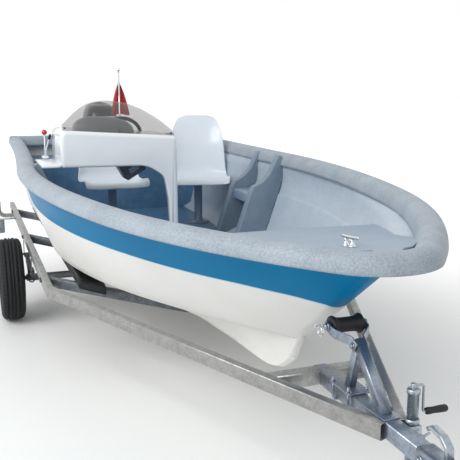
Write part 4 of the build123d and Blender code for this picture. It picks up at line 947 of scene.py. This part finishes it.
# %% [markdown]
# Deck fittings are cast and polished: a cleat whose bar rests on two flared feet, and the
# staff's socket. The flag hangs beside its staff in soft folds that fade downwards.
# %% Cleat, staff and flag
CLEAT_AT, STAFF_X, STAFF_Y = np.array([2.20, 0.0, 1.073]), -2.05, 0.04
STAFF_FOOT, STAFF_TOP = (STAFF_X, STAFF_Y, 1.0), (STAFF_X, STAFF_Y, 1.764)
bar_way = np.array([0.99, -0.14, 0.99 * DECK_RISE]) / math.hypot(1, DECK_RISE)
deck_up = (-DECK_RISE, 0, 1)
b = np.linspace(-1, 1, 25)[:, None]
bar_path = CLEAT_AT + b * 0.088 * bar_way + (0.030 + 0.005 * b ** 2) * EZ
bar_r = 0.0085 * np.sqrt(np.clip(1 - np.abs(b) ** 6, 0.02, 1)) * (1 - 0.25 * np.abs(b))
bar = bar_path[:, None] + bar_r[..., None] * (circle(16) @ [EY, deck_up])
feet = [spin([(0.016, 0), (0.016, 0.003), (0.009, 0.007), (0.0065, 0.018), (0.008, 0.030)],
             CLEAT_AT + k * 0.030 * bar_way, deck_up, 20) for k in (-1, 1)]
shell_piece("bow_cleat_cast", [(bar, False), *feet], chrome, "chrome_fitting", replaces="bow_cleat")
pole = spin([(0.008, 0.0), (0.007, 0.30), (0.006, 0.755)], STAFF_FOOT, EZ, 14)
socket = spin([(0.028, 0.0), (0.028, 0.004), (0.014, 0.010), (0.013, 0.06), (0.010, 0.064)], STAFF_FOOT, EZ,
              20)
truck = spin(ball(0.014, -np.pi / 2 + 0.1, np.pi / 2 - 0.05, 10), STAFF_TOP, EZ, 18)
staff = shell_piece("flag_pole", [pole, socket, truck], chrome, "chrome_fitting", replaces="flag_staff")
drop, wide = np.linspace(0, 1, 41)[:, None], np.linspace(-1, 1, 71)[None]
spread = 0.016 + 0.066 * drop ** 0.8
fold = np.sin(wide * 8.0 + 0.9 * drop) * (1 - 0.6 * drop)
flag_y = 0.046 + wide * spread + 0.006 * drop
flag_x = STAFF_X - 0.030 + 0.015 * fold - 0.010 * drop * np.cos(3.0 * wide)
flag_z = 1.668 - 0.29 * drop - 0.05 * wide ** 2 * (1 - drop) ** 2 + 0.006 * np.cos(4 * wide) * drop
flag_grid = np.stack(np.broadcast_arrays(flag_x, flag_y, flag_z), -1)
flag = sheet_piece("flag_cloth", flag_grid, flag_cloth, "red_cloth", replaces="flag")
for way, axis in (("down", 0), ("across", 1)):
    step = np.linalg.norm(np.diff(flag_grid, axis=axis), axis=2).mean()
    print("flag if laid flat,", way, (step * (flag_grid.shape[axis] - 1)).round(4))

# %% [markdown]
# The outboard's cowl is a deep-drawn shell in black paint: each level is a rounded rectangle,
# fullest at a third of its height, with a waistline groove where the cowl lifts off its pan.
# The leg below is a streamlined casting that ends in a torpedo and a skeg.
# %% Outboard
MOTOR_X, COWL_LOW, COWL_TALL, SHAFT_Z = -2.80, 1.025, 0.44, 0.195
squared, cosine = circle(64, 3.4), circle(64)[:, 0]
level = np.array([0.0, 0.01, 0.03, 0.10, 0.17, 0.20, 0.205, 0.215, 0.22, 0.30, 0.42, 0.55, 0.68, 0.78, 0.86,
                  0.92, 0.96,
                  0.985, 1.0])[:, None]
full = np.array([0.60, 0.68, 0.74, 0.88, 0.97, 0.985, 0.965, 0.965, 0.99, 1.0, 1.0, 0.985, 0.95, 0.90, 0.83,
                 0.74, 0.62,
                 0.44, 0.05])[:, None]
cowl = np.stack([MOTOR_X - 0.012 * level + 0.2 * full * squared[:, 0] * (1 + 0.06 * level),
                 0.163 * full * squared[:, 1] * (1 - 0.06 * cosine),
                 COWL_LOW + COWL_TALL * level - 0.035 * cosine * np.clip(level - 0.7, 0, 1)], -1)
shell_piece("motor_cowl", [(cowl, False)], cowl_black, "black_motor", body="motor_head",
            replaces="motor_head")


def foil(*levels):
    """Rings of a symmetric section, fullest near 35 % of its chord, at each level (front, back,
    half, height).
    """
    front, back, half, z = np.array(levels).T[..., None]
    share = 0.5 * (1 - np.cos(np.linspace(0, np.pi, 20)))
    wide = half * 2.6 * np.sqrt(share) * (1 - share) * (0.8 + 0.35 * share) + 0.004
    port = np.stack([front + (back - front) * share, wide, z + 0 * wide], -1)
    return np.concatenate([port, port[:, ::-1] * (1, -1, 1)], 1), False


leg = foil((-2.665, -2.935, 0.115, 1.045), (-2.675, -2.925, 0.105, 1.00), (-2.69, -2.90, 0.062, 0.93),
           (-2.712, -2.885, 0.046, 0.80), (-2.712, -2.880, 0.040, 0.60), (-2.715, -2.880, 0.036, 0.42),
           (-2.716, -2.880, 0.030, 0.30), (-2.72, -2.870, 0.022, 0.21))
vent_plate = foil((-2.66, -2.985, 0.055, 0.372), (-2.65, -2.995, 0.078, 0.366),
                  (-2.66, -2.985, 0.055, 0.360))
skeg = foil((-2.745, -2.86, 0.016, 0.19), (-2.775, -2.870, 0.011, 0.11), (-2.805, -2.862, 0.005, 0.065),
            (-2.82, -2.85, 0.002, 0.06))
pod = spin([(0.004, 0.0), (0.020, 0.008), (0.034, 0.03), (0.044, 0.075), (0.047, 0.12), (0.047, 0.19),
            (0.040, 0.215),
            (0.036, 0.22)], (-2.655, 0, SHAFT_Z), -EX, 32)
clamps = [spin([(0.022, 0), (0.024, 0.004), (0.024, 0.05), (0.018, 0.056)], (-2.69, 0, z), EZ, 24)
          for z in (0.665, 0.885)]
shell_piece("motor_leg", [leg, vent_plate, skeg, pod, *clamps], cowl_black, "black_motor", body="motor_head")

# %% [markdown]
# The propeller has three blades on a hub. Each blade is a flat oval section that twists with the
# pitch as it goes out, and it sweeps back a little.
# %% Propeller
blades = [spin([(0.034, 0), (0.036, 0.01), (0.036, 0.07), (0.028, 0.088), (0.012, 0.094), (0.002, 0.095)],
               (-2.878, 0, SHAFT_Z), -EX, 28)]
BLADE_ROOT, BLADE_LONG, BLADE_X, CLAMP_Z = 0.030, 0.092, -2.915, 0.835
radius = np.linspace(BLADE_ROOT, BLADE_ROOT + BLADE_LONG, 14)[:, None]
along_chord, through = circle(24).T[:, None]
share = (radius - BLADE_ROOT) / BLADE_LONG
chord = 0.036 + 0.062 * np.sin(np.pi * np.clip(share, 0, 1) ** 0.8) ** 0.8 * 0.75 - 0.022 * share ** 4
chord = chord * np.sqrt(np.clip(1 - share ** 7, 0.02, 1))
pitch = np.arctan2(0.038, radius)
for k in range(3):
    turn = 2 * np.pi * k / 3 + chord * along_chord / radius * np.cos(pitch) * 0.7 + 0.25 * share
    x = BLADE_X + chord * along_chord * np.sin(pitch) * 0.7 + (0.0035 * (1 - 0.6 * share)) * through
    blades.append((np.stack([x, radius * np.cos(turn), SHAFT_Z + radius * np.sin(turn)], -1), False))
shell_piece("screw_propeller", blades, dark_paint, "black_motor", body="propeller", replaces="propeller")
finish("motor_bracket", dark_paint)
finish("motor_swivel", dark_paint)
screws = [shell for y in (-0.132, 0.132) for shell in (
    spin([(0.008, 0), (0.008, 0.035), (0.018, 0.04), (0.018, 0.048)], (-2.412, y, CLAMP_Z), EX, 16),
    spin([(0.005, -0.035), (0.005, 0.035), (0.004, 0.036)], (-2.368, y, CLAMP_Z), (0, 1, 0.3), 12))]
shell_piece("clamp_screws", screws, bright_zinc, "black_motor")

# %% [markdown]
# The trailer is hot-dip galvanised steel: rectangular tube with rounded corners for the frame,
# open at the beams' front ends. Each tube is one rounded section carried along its centre line.
# %% Frame tubes
BEAM_Y, FRAME_MID, VEE_EDGE, TUBE_X, TUBE_Y = 0.875, 0.5245, 0.857, -2.42, 1.010
beam = hollow_ends(carry([(x, y, FRAME_MID) for x, y in ((-2.70, BEAM_Y), (-1.2, BEAM_Y), (0.455, BEAM_Y),
                                                         (0.475, 0.871), (1.5, 0.4535), (2.53, 0.034))],
                         tube_box(0.040, 0.060, 0.007, 5)), 0.003)
for name, shells in (("port", [beam]), ("starboard", mirrored([beam]))):
    shell_piece(f"beam_tube_{name}", shells, zinc, "galvanised", replaces=f"frame_beam_{name}")
bar = carry([(x, 0, 0.525) for x in (1.995, 2.4, 2.80)], tube_box(0.060, 0.060, 0.008, 5))
shell_piece("drawbar_tube", [hollow_ends(bar, 0.003, ends=(0,))], zinc_cool, "galvanised",
            replaces="drawbar")
cross = carry([(2.025, y, 0.5243) for y in (-0.238, 0, 0.238)], tube_box(0.060, 0.059, 0.007, 5))
shell_piece("cross_tube", [cross], zinc, "galvanised", replaces="front_cross_member")


def vee_middle(y):
    """Height of a vee member's centre line, 248 mm lower at the middle than at the beams."""
    return 0.540 - 0.248 * (1 - abs(y) / 0.855) - 0.0275


vees = []
for x in (-2.32, -1.13, 0.19):
    route = bend_path([(x, y, vee_middle(y)) for y in (-VEE_EDGE, 0, VEE_EDGE)], 0.10)
    vees.append(carry(route, tube_box(0.060, 0.055, 0.006), flat=False))
    for side in (-1, 1):
        vees += bolts([(x + dx, side * 0.8951, 0.525) for dx in (-0.021, 0.021)], side * EY, 0.017, 0.011,
                      0.014)
shell_piece("vee_tubes", vees, zinc_painted_shade, "dark_steel", replaces="vee_members")
half_route = [(TUBE_X, TUBE_Y, 0.606), (TUBE_X, TUBE_Y, 0.476), (TUBE_X, 0.855, 0.476)]
route = [(x, -y, z) for x, y, z in half_route] + [(TUBE_X, 0, 0.289)] + half_route[::-1]
rear = hollow_ends(carry(bend_path(route, 0.07, 8), tube_round(0.038), EX), 0.003)
shell_piece("rear_bent_tube", [rear], zinc, "galvanised", replaces="rear_tube")
finish("bunk_blocks", dark_paint)
finish("keel_pads", rubber_black)

# %% [markdown]
# Two covered boards carry the bilges. Each is one loop per station: its top lies 1 mm under the
# bottom of the hull, and ahead of the last block the hull rises away from it.
# %% Bunks
BUNK_INNER, BUNK_OUTER, BUNK_MOST = 0.560, 0.712, 0.060
BUNK_FOOT, BUNK_TILT, BUNK_EDGE, BUNK_GAP = 0.4660, 0.3467, 0.004, 0.001


def hull_under(x, y):
    """Height of the hull's bottom at (x, y), read off the rings of the bottom."""
    return np.interp(y, *section_at(bottom, x))


bunk_x = np.concatenate([[-2.45], np.linspace(-2.444, 0.40, 60), [0.425, 0.43]])
bunk_y = np.linspace(BUNK_INNER + BUNK_EDGE, BUNK_OUTER - BUNK_EDGE, 9)
bunk_foot = BUNK_FOOT + BUNK_TILT * (bunk_y - BUNK_INNER)
bunk_top = np.array([hull_under(x, bunk_y) - BUNK_GAP for x in bunk_x])
bunk_top = np.clip(bunk_top, bunk_foot + 0.020, bunk_foot + BUNK_MOST)
bunk_top -= np.interp(bunk_x, [-2.45, -2.444, 0.34, 0.425, 0.43], [0.005, 0, 0, 0.012, 0.020])[:, None]
top_row, foot_row = (np.stack(np.broadcast_arrays(bunk_x[:, None], bunk_y, z), -1) for z in (bunk_top,
                                                                                             bunk_foot))
out, lower = BUNK_EDGE * EY, BUNK_EDGE * EZ
outer_side = (top_row[:, -1:] + out - lower, foot_row[:, -1:] + out + lower)
inner_side = (foot_row[:, :1] - out + lower, top_row[:, :1] - out - lower)
bunk = [(np.concatenate([top_row, *outer_side, foot_row[:, ::-1], *inner_side], 1), False)]
for name, shells in (("port", bunk), ("starboard", mirrored(bunk))):
    shell_piece(f"bunk_board_{name}", shells, board_black, "bunk_board", replaces=f"bunk_{name}")
print("bunk top from", bunk_top.min().round(3), "to", bunk_top.max().round(3))

# %% [markdown]
# The running gear: a tube axle between stub spindles, leaf packs bolted under the beams and two
# road wheels. The tyre is one grid of section by angle, with grooves and blocks pressed in.
# %% Axle, springs and wheels
WHEEL_AT_X, WHEEL_OUT, WHEEL_R, AXLE_LEAF = -0.821, 1.012, 0.29, 0.34


def both_ends(profile):
    """A profile (r, s) from its end to the middle, continued by the other half."""
    return profile + [(r, -s) for r, s in profile[::-1]]


def u_bolt(x, y0, y1, low, high, radius, steps, sides):
    """Rod of 10 mm bent to a U under a beam, across the boat at x."""
    route = bend_path([(x, y0, high), (x, y0, low), (x, y1, low), (x, y1, high)], radius, steps)
    return carry(route, tube_round(0.010, sides), EX)


def slab(a0, b0, a1, b1, radius, thick, edge, level, steps=4):
    """Level plate of that rectangle, from the height given upwards."""
    return plate(box_loop(a0, b0, a1, b1, radius, steps), thick, edge, (0, 0, level), EX, EY)


half_axle = [(0.014, -1.020), (0.015, -1.012), (0.015, -0.908), (0.024, -0.907), (0.025, -0.903)]
axle = spin(both_ends(half_axle), (WHEEL_AT_X, 0, WHEEL_R), EY, 28)
shell_piece("axle_tube", [axle], zinc_painted_shade, "dark_steel", replaces="axle_beam")
springs = []
for count, share in enumerate((0.45, 0.72, 1.0)):
    x = np.linspace(-1, 1, 21) * AXLE_LEAF * share
    z = 0.315 + 0.062 * (x / AXLE_LEAF) ** 2 + 0.0035 + 0.007 * count
    springs.append(carry(np.stack([WHEEL_AT_X + x, 0 * x + BEAM_Y, z], 1),
                         tube_box(0.034, 0.0068, 0.001, 3)))
for x in (WHEEL_AT_X - 0.322, WHEEL_AT_X + 0.322):
    cheek = box_loop(-0.022, 0.370, 0.022, 0.4955, 0.008)
    springs += [plate(cheek, 0.004, 0.001, (x, y, 0), EX, EZ) for y in (0.858, 0.896)]
    springs += bolt((x, 0.894, 0.391), EY, 0.017, 0.010, 0.013)
springs.append(plate(box_loop(-0.045, 0.855, 0.045, 0.895, 0.006), 0.008, 0.002, (WHEEL_AT_X, 0, 0.3365), EX,
                     EY))
springs += [u_bolt(WHEEL_AT_X + dx, 0.858, 0.892, 0.262, 0.352, 0.016, 5, 10) for dx in (-0.032, 0.032)]
shell_piece("leaf_spring_packs", springs + mirrored(springs), zinc_painted_shade, "dark_steel",
            replaces="leaf_springs")
tread = np.array(both_ends([
    (0.168, 0.050), (0.172, 0.062), (0.184, 0.070), (0.205, 0.077), (0.232, 0.0795), (0.252, 0.078),
                            (0.266, 0.072),
    (0.2745, 0.067), (0.2790, 0.061), (0.2835, 0.052), (0.2862, 0.044), (0.2790, 0.0415), (0.2790, 0.0355),
    (0.2878, 0.033), (0.2890, 0.024), (0.2893, 0.0155), (0.2815, 0.013), (0.2815, 0.006), (0.2897, 0.004)])
    + [(0.166, 0.0)])
BLOCKS, BLOCK_SLANT, BLOCK_SHARE, CUT_DEEP, CUT_R, CUT_Y = 60, 9, 0.40, 0.0055, 0.2745, 0.03
tyre_turn = np.linspace(0, 2 * np.pi, 4 * BLOCKS, endpoint=False)
block_cut = np.abs((tyre_turn * BLOCKS / (2 * np.pi) + BLOCK_SLANT * tread[:, 1:]) % 1 - 0.5) > BLOCK_SHARE
on_tread = ((tread[:, 0] > CUT_R) & (np.abs(tread[:, 1]) > CUT_Y))[:, None]
tyre_r = tread[:, :1] - CUT_DEEP * block_cut * on_tread
tyre_grid = np.stack([tyre_r * np.cos(tyre_turn), tread[:, 1:] + 0 * tyre_r, tyre_r * np.sin(tyre_turn)], -1)
BARREL = [(0.163, -0.062), (0.176, -0.064), (0.177, -0.060), (0.168, -0.056), (0.166, -0.040),
          (0.152, -0.030),
          (0.152, 0.020), (0.166, 0.042), (0.168, 0.056), (0.177, 0.060), (0.176, 0.064), (0.163, 0.062),
          (0.158, 0.040), (0.146, 0.022), (0.146, -0.026), (0.158, -0.040)]
DISH = [(0.147, 0.006), (0.135, 0.014), (0.115, 0.026), (0.095, 0.030), (0.082, 0.024), (0.070, 0.018),
        (0.046, 0.018), (0.046, 0.012), (0.075, 0.012), (0.100, 0.020), (0.147, -0.002)]
WHEEL_HUB = [(0.060, -0.030), (0.062, -0.026), (0.062, -0.004), (0.040, 0.0), (0.040, 0.020), (0.032, 0.026),
             (0.030, 0.044), (0.022, 0.052), (0.003, 0.055)]
for name, side in (("port", 1), ("starboard", -1)):
    centre, out, body = np.array([WHEEL_AT_X, side * WHEEL_OUT, WHEEL_R]), side * EY, f"wheel_{name}"
    shell_piece(f"road_tyre_{name}", [(tyre_grid + centre, True)], tyre_black, "tyre_rubber", body=body,
                replaces=f"tyre_{name}")
    rim = [ring(spin(BARREL, centre, out, 60)), ring(spin(DISH, centre, out, 60)),
           spin(WHEEL_HUB, centre, out, 32)]
    shell_piece(f"road_rim_{name}", rim, bright_zinc, "rim_steel", body=body, replaces=f"rim_{name}")
    spots = 0.057 * circle(5) @ [EX, EZ] + 0.019 * out + centre
    shell_piece(f"wheel_nuts_{name}", bolts(spots, out, 0.017, 0.014, 0.011), chrome, "rim_steel", body=body)
lamps = bolts([(-1.965, y, 0.526) for y in (0.905, 0.93)], EZ, 0.013, 0.007, 0.010)
lamps += [slab(-1.99, 0.893, -1.94, 1.10, 0.006, 0.006, 0.0015, 0.520),
          plate(box_loop(0.985, 0.400, 1.10, 0.521, 0.012, 5), 0.006, 0.002, (-1.982, 0, 0), EY, EZ)]
shell_piece("lamp_bracket_plates", lamps + mirrored(lamps), bright_zinc, "galvanised",
            replaces="lamp_brackets")

# %% [markdown]
# The bow stand: a leaning square post with an upright strut, both on a plate clamped to the
# drawbar by two U-bolts. Two flat arms, bent outwards, hold the rubber roller on its pin. The
# boat's bow eye is a polished ring on the stem just behind the roller.
# %% Bow stand and bow eye
DRAWBAR_TOP, U_HALF = 0.5552, 0.037
post = carry([(2.4805, 0, 0.553), (2.389, 0, 0.647), (2.288, 0, 0.752)], tube_box(0.038, 0.038, 0.005),
             (1, 0, 0.6))
strut = carry([(2.237, 0, 0.556), (2.263, 0, 0.640), (2.294, 0, 0.738)], tube_box(0.030, 0.033, 0.004), EX)
stand = [hollow_ends(post, 0.003, 0.02, (-1,)), strut,
         slab(2.160, -0.045, 2.310, 0.045, 0.006, 0.008, 0.002, DRAWBAR_TOP),
         slab(2.43, -0.034, 2.525, 0.034, 0.006, 0.005, 0.0015, DRAWBAR_TOP)]
for x in (2.178, 2.292):
    stand.append(u_bolt(x, -U_HALF, U_HALF, 0.489, 0.582, 0.014, 6, 12))
    stand += bolts([(x, y, 0.563) for y in (-U_HALF, U_HALF)], EZ, 0.017, 0.009, 0.012)
shell_piece("bow_stand", stand, zinc_cool, "galvanised", replaces="bow_post")
ROLLER = np.array([2.19, 0, 0.78])
arm_line = bend_path([(2.172, 0.071, 0), (2.235, 0.071, 0), (2.278, 0.0222, 0), (2.310, 0.0222, 0)], 0.025)
arm_line[:, 2] = 0.780 - 0.048 * np.clip((arm_line[:, 0] - 2.19) / 0.12, 0, 1) ** 1.3
arm = carry(arm_line, tube_box(0.006, 0.034, 0.002, 3))
arms = [arm, *mirrored([arm]), spin([(0.008, -0.083), (0.008, 0.083), (0.006, 0.085)], ROLLER, EY, 18)]
for spot, y, size in ((ROLLER, 0.0745, (0.022, 0.012, 0.016)),
                      ((2.294, 0, 0.735), 0.0255, (0.017, 0.010, 0.013))):
    arms += [shell for side in (1, -1) for shell in bolt(spot + side * y * EY, side * EY, *size)]
shell_piece("roller_arm_pair", arms, zinc_cool, "galvanised", replaces="roller_arms")
roller = [(0.0085, 0.062), (0.030, 0.063), (0.0355, 0.060), (0.0375, 0.055), (0.0365, 0.050), (0.031, 0.042),
          (0.0285, 0.032), (0.0275, 0.015), (0.0275, 0.0)]
roller = [(r, -s) for r, s in roller] + roller[-2::-1]
shell_piece("rubber_roller", [ring(spin(roller, ROLLER, EY, 48))], rubber_black, "black_rubber",
            body="bow_roller",
            replaces="bow_roller")
EYE = np.array([1.975, 0, 0.703])
eye = [hoop(EYE + (0.016, 0, -0.013), 0.018, 0.005, EX, EZ, 32, 12),
       spin([(0.018, -0.03), (0.018, 0.002), (0.016, 0.004), (0.008, 0.005)], EYE + (-0.004, 0, 0.003),
            (0.787, 0, -0.616), 24)]
shell_piece("bow_eye_ring", eye, chrome, "chrome_fitting", replaces="bow_eye")

# %% [markdown]
# The jockey wheel is a screw jack: an outer tube in a clamp on the drawbar, an inner leg, a
# castoring fork and a small solid tyre. A cranked rod with a black grip winds it. The tube, its
# clamp block and its collars are open rings, so that the leg can slide up inside them.
# %% Jockey wheel
JX, JY, BORE = 2.556, 0.054, 0.0188
JOCKEY = np.array([JX, JY, 0])
disc, square = circle(48), 0.024 * circle(48, 12)
block = np.stack([np.column_stack([outline, np.full(48, z)]) for outline, z in (
    (BORE * disc, 0.501), (square - 0.003 * disc, 0.501), (square, 0.504), (square, 0.546),
    (square - 0.003 * disc, 0.549), (BORE * disc, 0.549))]) + JOCKEY
outer = ring(spin([(0.0168, 0.392), (0.019, 0.393), (0.019, 0.655), (0.022, 0.656), (0.022, 0.668),
                   (0.019, 0.672),
                   (0.0005, 0.6725), (0.0005, 0.662), (0.0165, 0.660)], JOCKEY, EZ, 32))
collars = [ring(spin([(BORE, z - 0.009), (0.0235, z - 0.008), (0.0235, z + 0.008), (BORE, z + 0.009)],
                     JOCKEY, EZ, 28))
           for z in (0.560, 0.402)]
tee = [spin([(0.006, 0), (0.006, 0.030), (0.012, 0.031), (0.012, 0.037)], (JX + 0.022, JY, 0.525), EX, 14),
       spin([(0.0045, -0.032), (0.0045, 0.032), (0.003, 0.034)], (JX + 0.056, JY, 0.525), (0, 1, 0.4), 10)]
shell_piece("jockey_outer_tube", [outer, (block, True), *collars, *tee], bright_zinc, "galvanised",
            replaces="jockey_clamp")
crank_line = JOCKEY + [(0, 0, 0.664), (0, 0, 0.682), (0.004, 0.036, 0.682), (0.004, 0.036, 0.587),
                       (0.004, 0.122, 0.587)]
crank = carry(bend_path(crank_line, 0.009, 5), tube_round(0.009, 12), EX)
crank_boss = spin([(0.009, 0.670), (0.010, 0.674), (0.010, 0.688), (0.008, 0.690)], JOCKEY, EZ, 18)
shell_piece("jockey_crank_rod", [crank, crank_boss], bright_zinc, "galvanised", replaces="jockey_crank")
grip = spin([(0.007, 0.046), (0.011, 0.048), (0.0125, 0.056), (0.011, 0.075), (0.0125, 0.100),
             (0.0125, 0.122),
             (0.010, 0.128), (0.003, 0.130)], JOCKEY + (0.004, 0, 0.587), EY, 24)
shell_piece("jockey_grip", [grip], rubber_black, "black_rubber")
leg_tube = spin([(0.0145, 0.190), (0.0155, 0.192), (0.0155, 0.462), (0.013, 0.463)], JOCKEY, EZ, 28)
shell_piece("jockey_inner_leg", [leg_tube], bright_zinc, "galvanised", body="jockey_leg",
            replaces="jockey_leg")
HUB = np.array([JX - 0.060, JY, 0.08])
cheek = rounded_loop([(HUB[0] - 0.016, 0.064), (HUB[0] + 0.016, 0.064), (JX + 0.022, 0.176),
                      (HUB[0] - 0.018, 0.176)],
                     [0.014, 0.014, 0.006, 0.006])
fork = [plate(cheek, 0.005, 0.0015, (0, JY + y, 0), EX, EZ) for y in (0.035, -0.030)]
fork += [slab(HUB[0] - 0.020, JY - 0.035, JX + 0.024, JY + 0.035, 0.008, 0.006, 0.002, 0.173),
         spin([(0.020, 0.178), (0.021, 0.181), (0.0205, 0.188), (0.015, 0.1895)], JOCKEY, EZ, 26),
         spin([(0.0068, -0.034), (0.0068, 0.034)], HUB, EY, 16)]
for way in (EY, -EY):
    fork += bolt(HUB + 0.0352 * way, way, 0.019, 0.008, 0.012)
shell_piece("jockey_fork_plates", fork, bright_zinc, "galvanised", body="jockey_fork",
            replaces="jockey_fork")
small = [(0.045, -0.020), (0.052, -0.024), (0.066, -0.0245), (0.074, -0.021), (0.0785, -0.013),
         (0.080, -0.004),
         (0.0765, -0.002)]
shell_piece("jockey_tyre", [ring(spin(both_ends(small), HUB, EY, 48))], tyre_black, "tyre_rubber",
            body="jockey_wheel", replaces="jockey_wheel")
centre = [(0.046, -0.019), (0.040, -0.006), (0.020, -0.005), (0.018, -0.024), (0.0075, -0.025)]
shell_piece("jockey_wheel_centre", [ring(spin(both_ends(centre), HUB, EY, 40))], grey_paint, "rim_steel",
            body="jockey_wheel")

# %% [markdown]
# The coupling is a pressed steel head: a sleeve bolted over the drawbar, a neck and a domed
# socket that drops over the tow ball. Its lever lies on top.
# %% Coupling
sleeve_line = np.array([(x, 0, 0.525) for x in (2.708, 2.712, 2.80, 2.835, 2.842)])
sleeve = carry(sleeve_line, tube_box(0.070, 0.070, 0.012, 5))[0] - sleeve_line[:, None]
sleeve = sleeve_line[:, None] + sleeve * np.array([0.90, 1.0, 1.0, 1.0, 0.92])[:, None, None]
neck_x = np.linspace(2.826, 2.975, 12)[:, None]
neck_half = np.interp(neck_x, [2.826, 2.86, 2.93, 2.975], [0.033, 0.031, 0.036, 0.041])
neck_mid = np.interp(neck_x, [2.826, 2.87, 2.975], [0.528, 0.536, 0.538])
neck_tall = np.interp(neck_x, [2.826, 2.87, 2.975], [0.028, 0.022, 0.021])
across, upward = circle(40, 4).T
neck = np.stack(np.broadcast_arrays(neck_x, neck_half * across, neck_mid + neck_tall * upward), -1)
inside = [(0.0255 * math.cos(t), -0.030 + 0.0255 * math.sin(t)) for t in np.linspace(1.45, 0, 9)]
head = spin(inside + [(0.0255, -0.050), (0.034, -0.052), (0.0405, -0.049), (0.042, -0.044), (0.042, -0.014),
                      (0.040, -0.003), (0.034, 0.0055), (0.022, 0.0095), (0.004, 0.0105)], (2.978, 0, 0.555),
            EZ, 48)
bolts = [shell for x in (2.735, 2.79) for side in (-1, 1)
         for shell in bolt((x, side * 0.035, 0.525), side * EY, 0.019, 0.011, 0.014)]
shell_piece("coupling_pressing", [(sleeve, False), (neck, False), head, *bolts], zinc_cool, "galvanised",
            replaces="coupling_head")
lever_line = [(2.731, 0, 0.622), (2.745, 0, 0.632), (2.797, 0, 0.624), (2.826, 0, 0.600), (2.828, 0, 0.560)]
lever = carry(bend_path(lever_line, 0.012, 5), tube_box(0.028, 0.014, 0.004))
shell_piece("coupling_lever", [lever], bright_zinc, "galvanised", replaces="coupling_handle")

# %% [markdown]
# The boat stands on a pale floor that fades to plain white further out. The world lights it
# softly, and one large lamp to starboard and ahead gives the shadows their side. The rays that
# only show a backdrop see it brighter than the rays that light the boat.
# %% Floor and light
world = bpy.data.worlds.new("world")
bpy.context.scene.world = world
world.use_nodes = True
sky = world.node_tree.nodes["Background"]


def backdrop_rays(tree):
    """1 for the rays that show a backdrop (camera, mirror and glass rays), 0 for those that light
    the boat.
    """
    rays = add(tree, "ShaderNodeLightPath")
    most = rays.outputs["Is Camera Ray"]
    for kind in ("Is Glossy Ray", "Is Transmission Ray"):
        most = add(tree, "ShaderNodeMath", {0: most, 1: rays.outputs[kind]}, operation="MAXIMUM").outputs[0]
    return most


SOFT, WHITE = 0.72, 1.0
FLOOR_HALF, FADE_FROM, FADE_TO = 60, 1.0, 3.8
shows = backdrop_rays(world.node_tree)
for socket, output in (("Strength", stretch(world.node_tree, shows, 0.0, 1.0, SOFT, WHITE)),
                       ("Color", blend(world.node_tree, shows, (0.96, 0.98, 1, 1), (1, 1, 1, 1)))):
    world.node_tree.links.new(output, sky.inputs[socket])
floor_mesh = bpy.data.meshes.new("floor")
floor_mesh.from_pydata([(FLOOR_HALF * x, FLOOR_HALF * y, 0) for x,
                        y in ((-1, -1), (1, -1), (1, 1), (-1, 1))], [],
                       [(0, 1, 2, 3)])
floor = add_object("floor", floor_mesh)
paint = Paint("floor_pale", "#f4f4f2", Roughness=0.6, Specular_IOR_Level=0.2, Emission_Color=(1, 1, 1, 1))
away = add(paint.tree, "ShaderNodeVectorMath", {0: paint.place}, operation="LENGTH").outputs["Value"]
glow = stretch(paint.tree, away, FADE_FROM, FADE_TO, interpolation_type="SMOOTHSTEP")
shown = paint.combine("MULTIPLY", glow, backdrop_rays(paint.tree))
paint.feed("Base Color", blend(paint.tree, shown, "#f4f4f2", (0, 0, 0, 1)))
paint.feed("Emission Strength", shown)
floor_mesh.materials.append(paint.material)
key = bpy.data.lights.new("key", "AREA")
key.shape, key.size, key.size_y, key.energy = "RECTANGLE", 6, 4, 350
lamp = add_object("key", key)
lamp.location = (2.8, -5.6, 5.0)
aim(lamp, Vector((0, 0, 0.6)) - lamp.location)
print("floor and light")
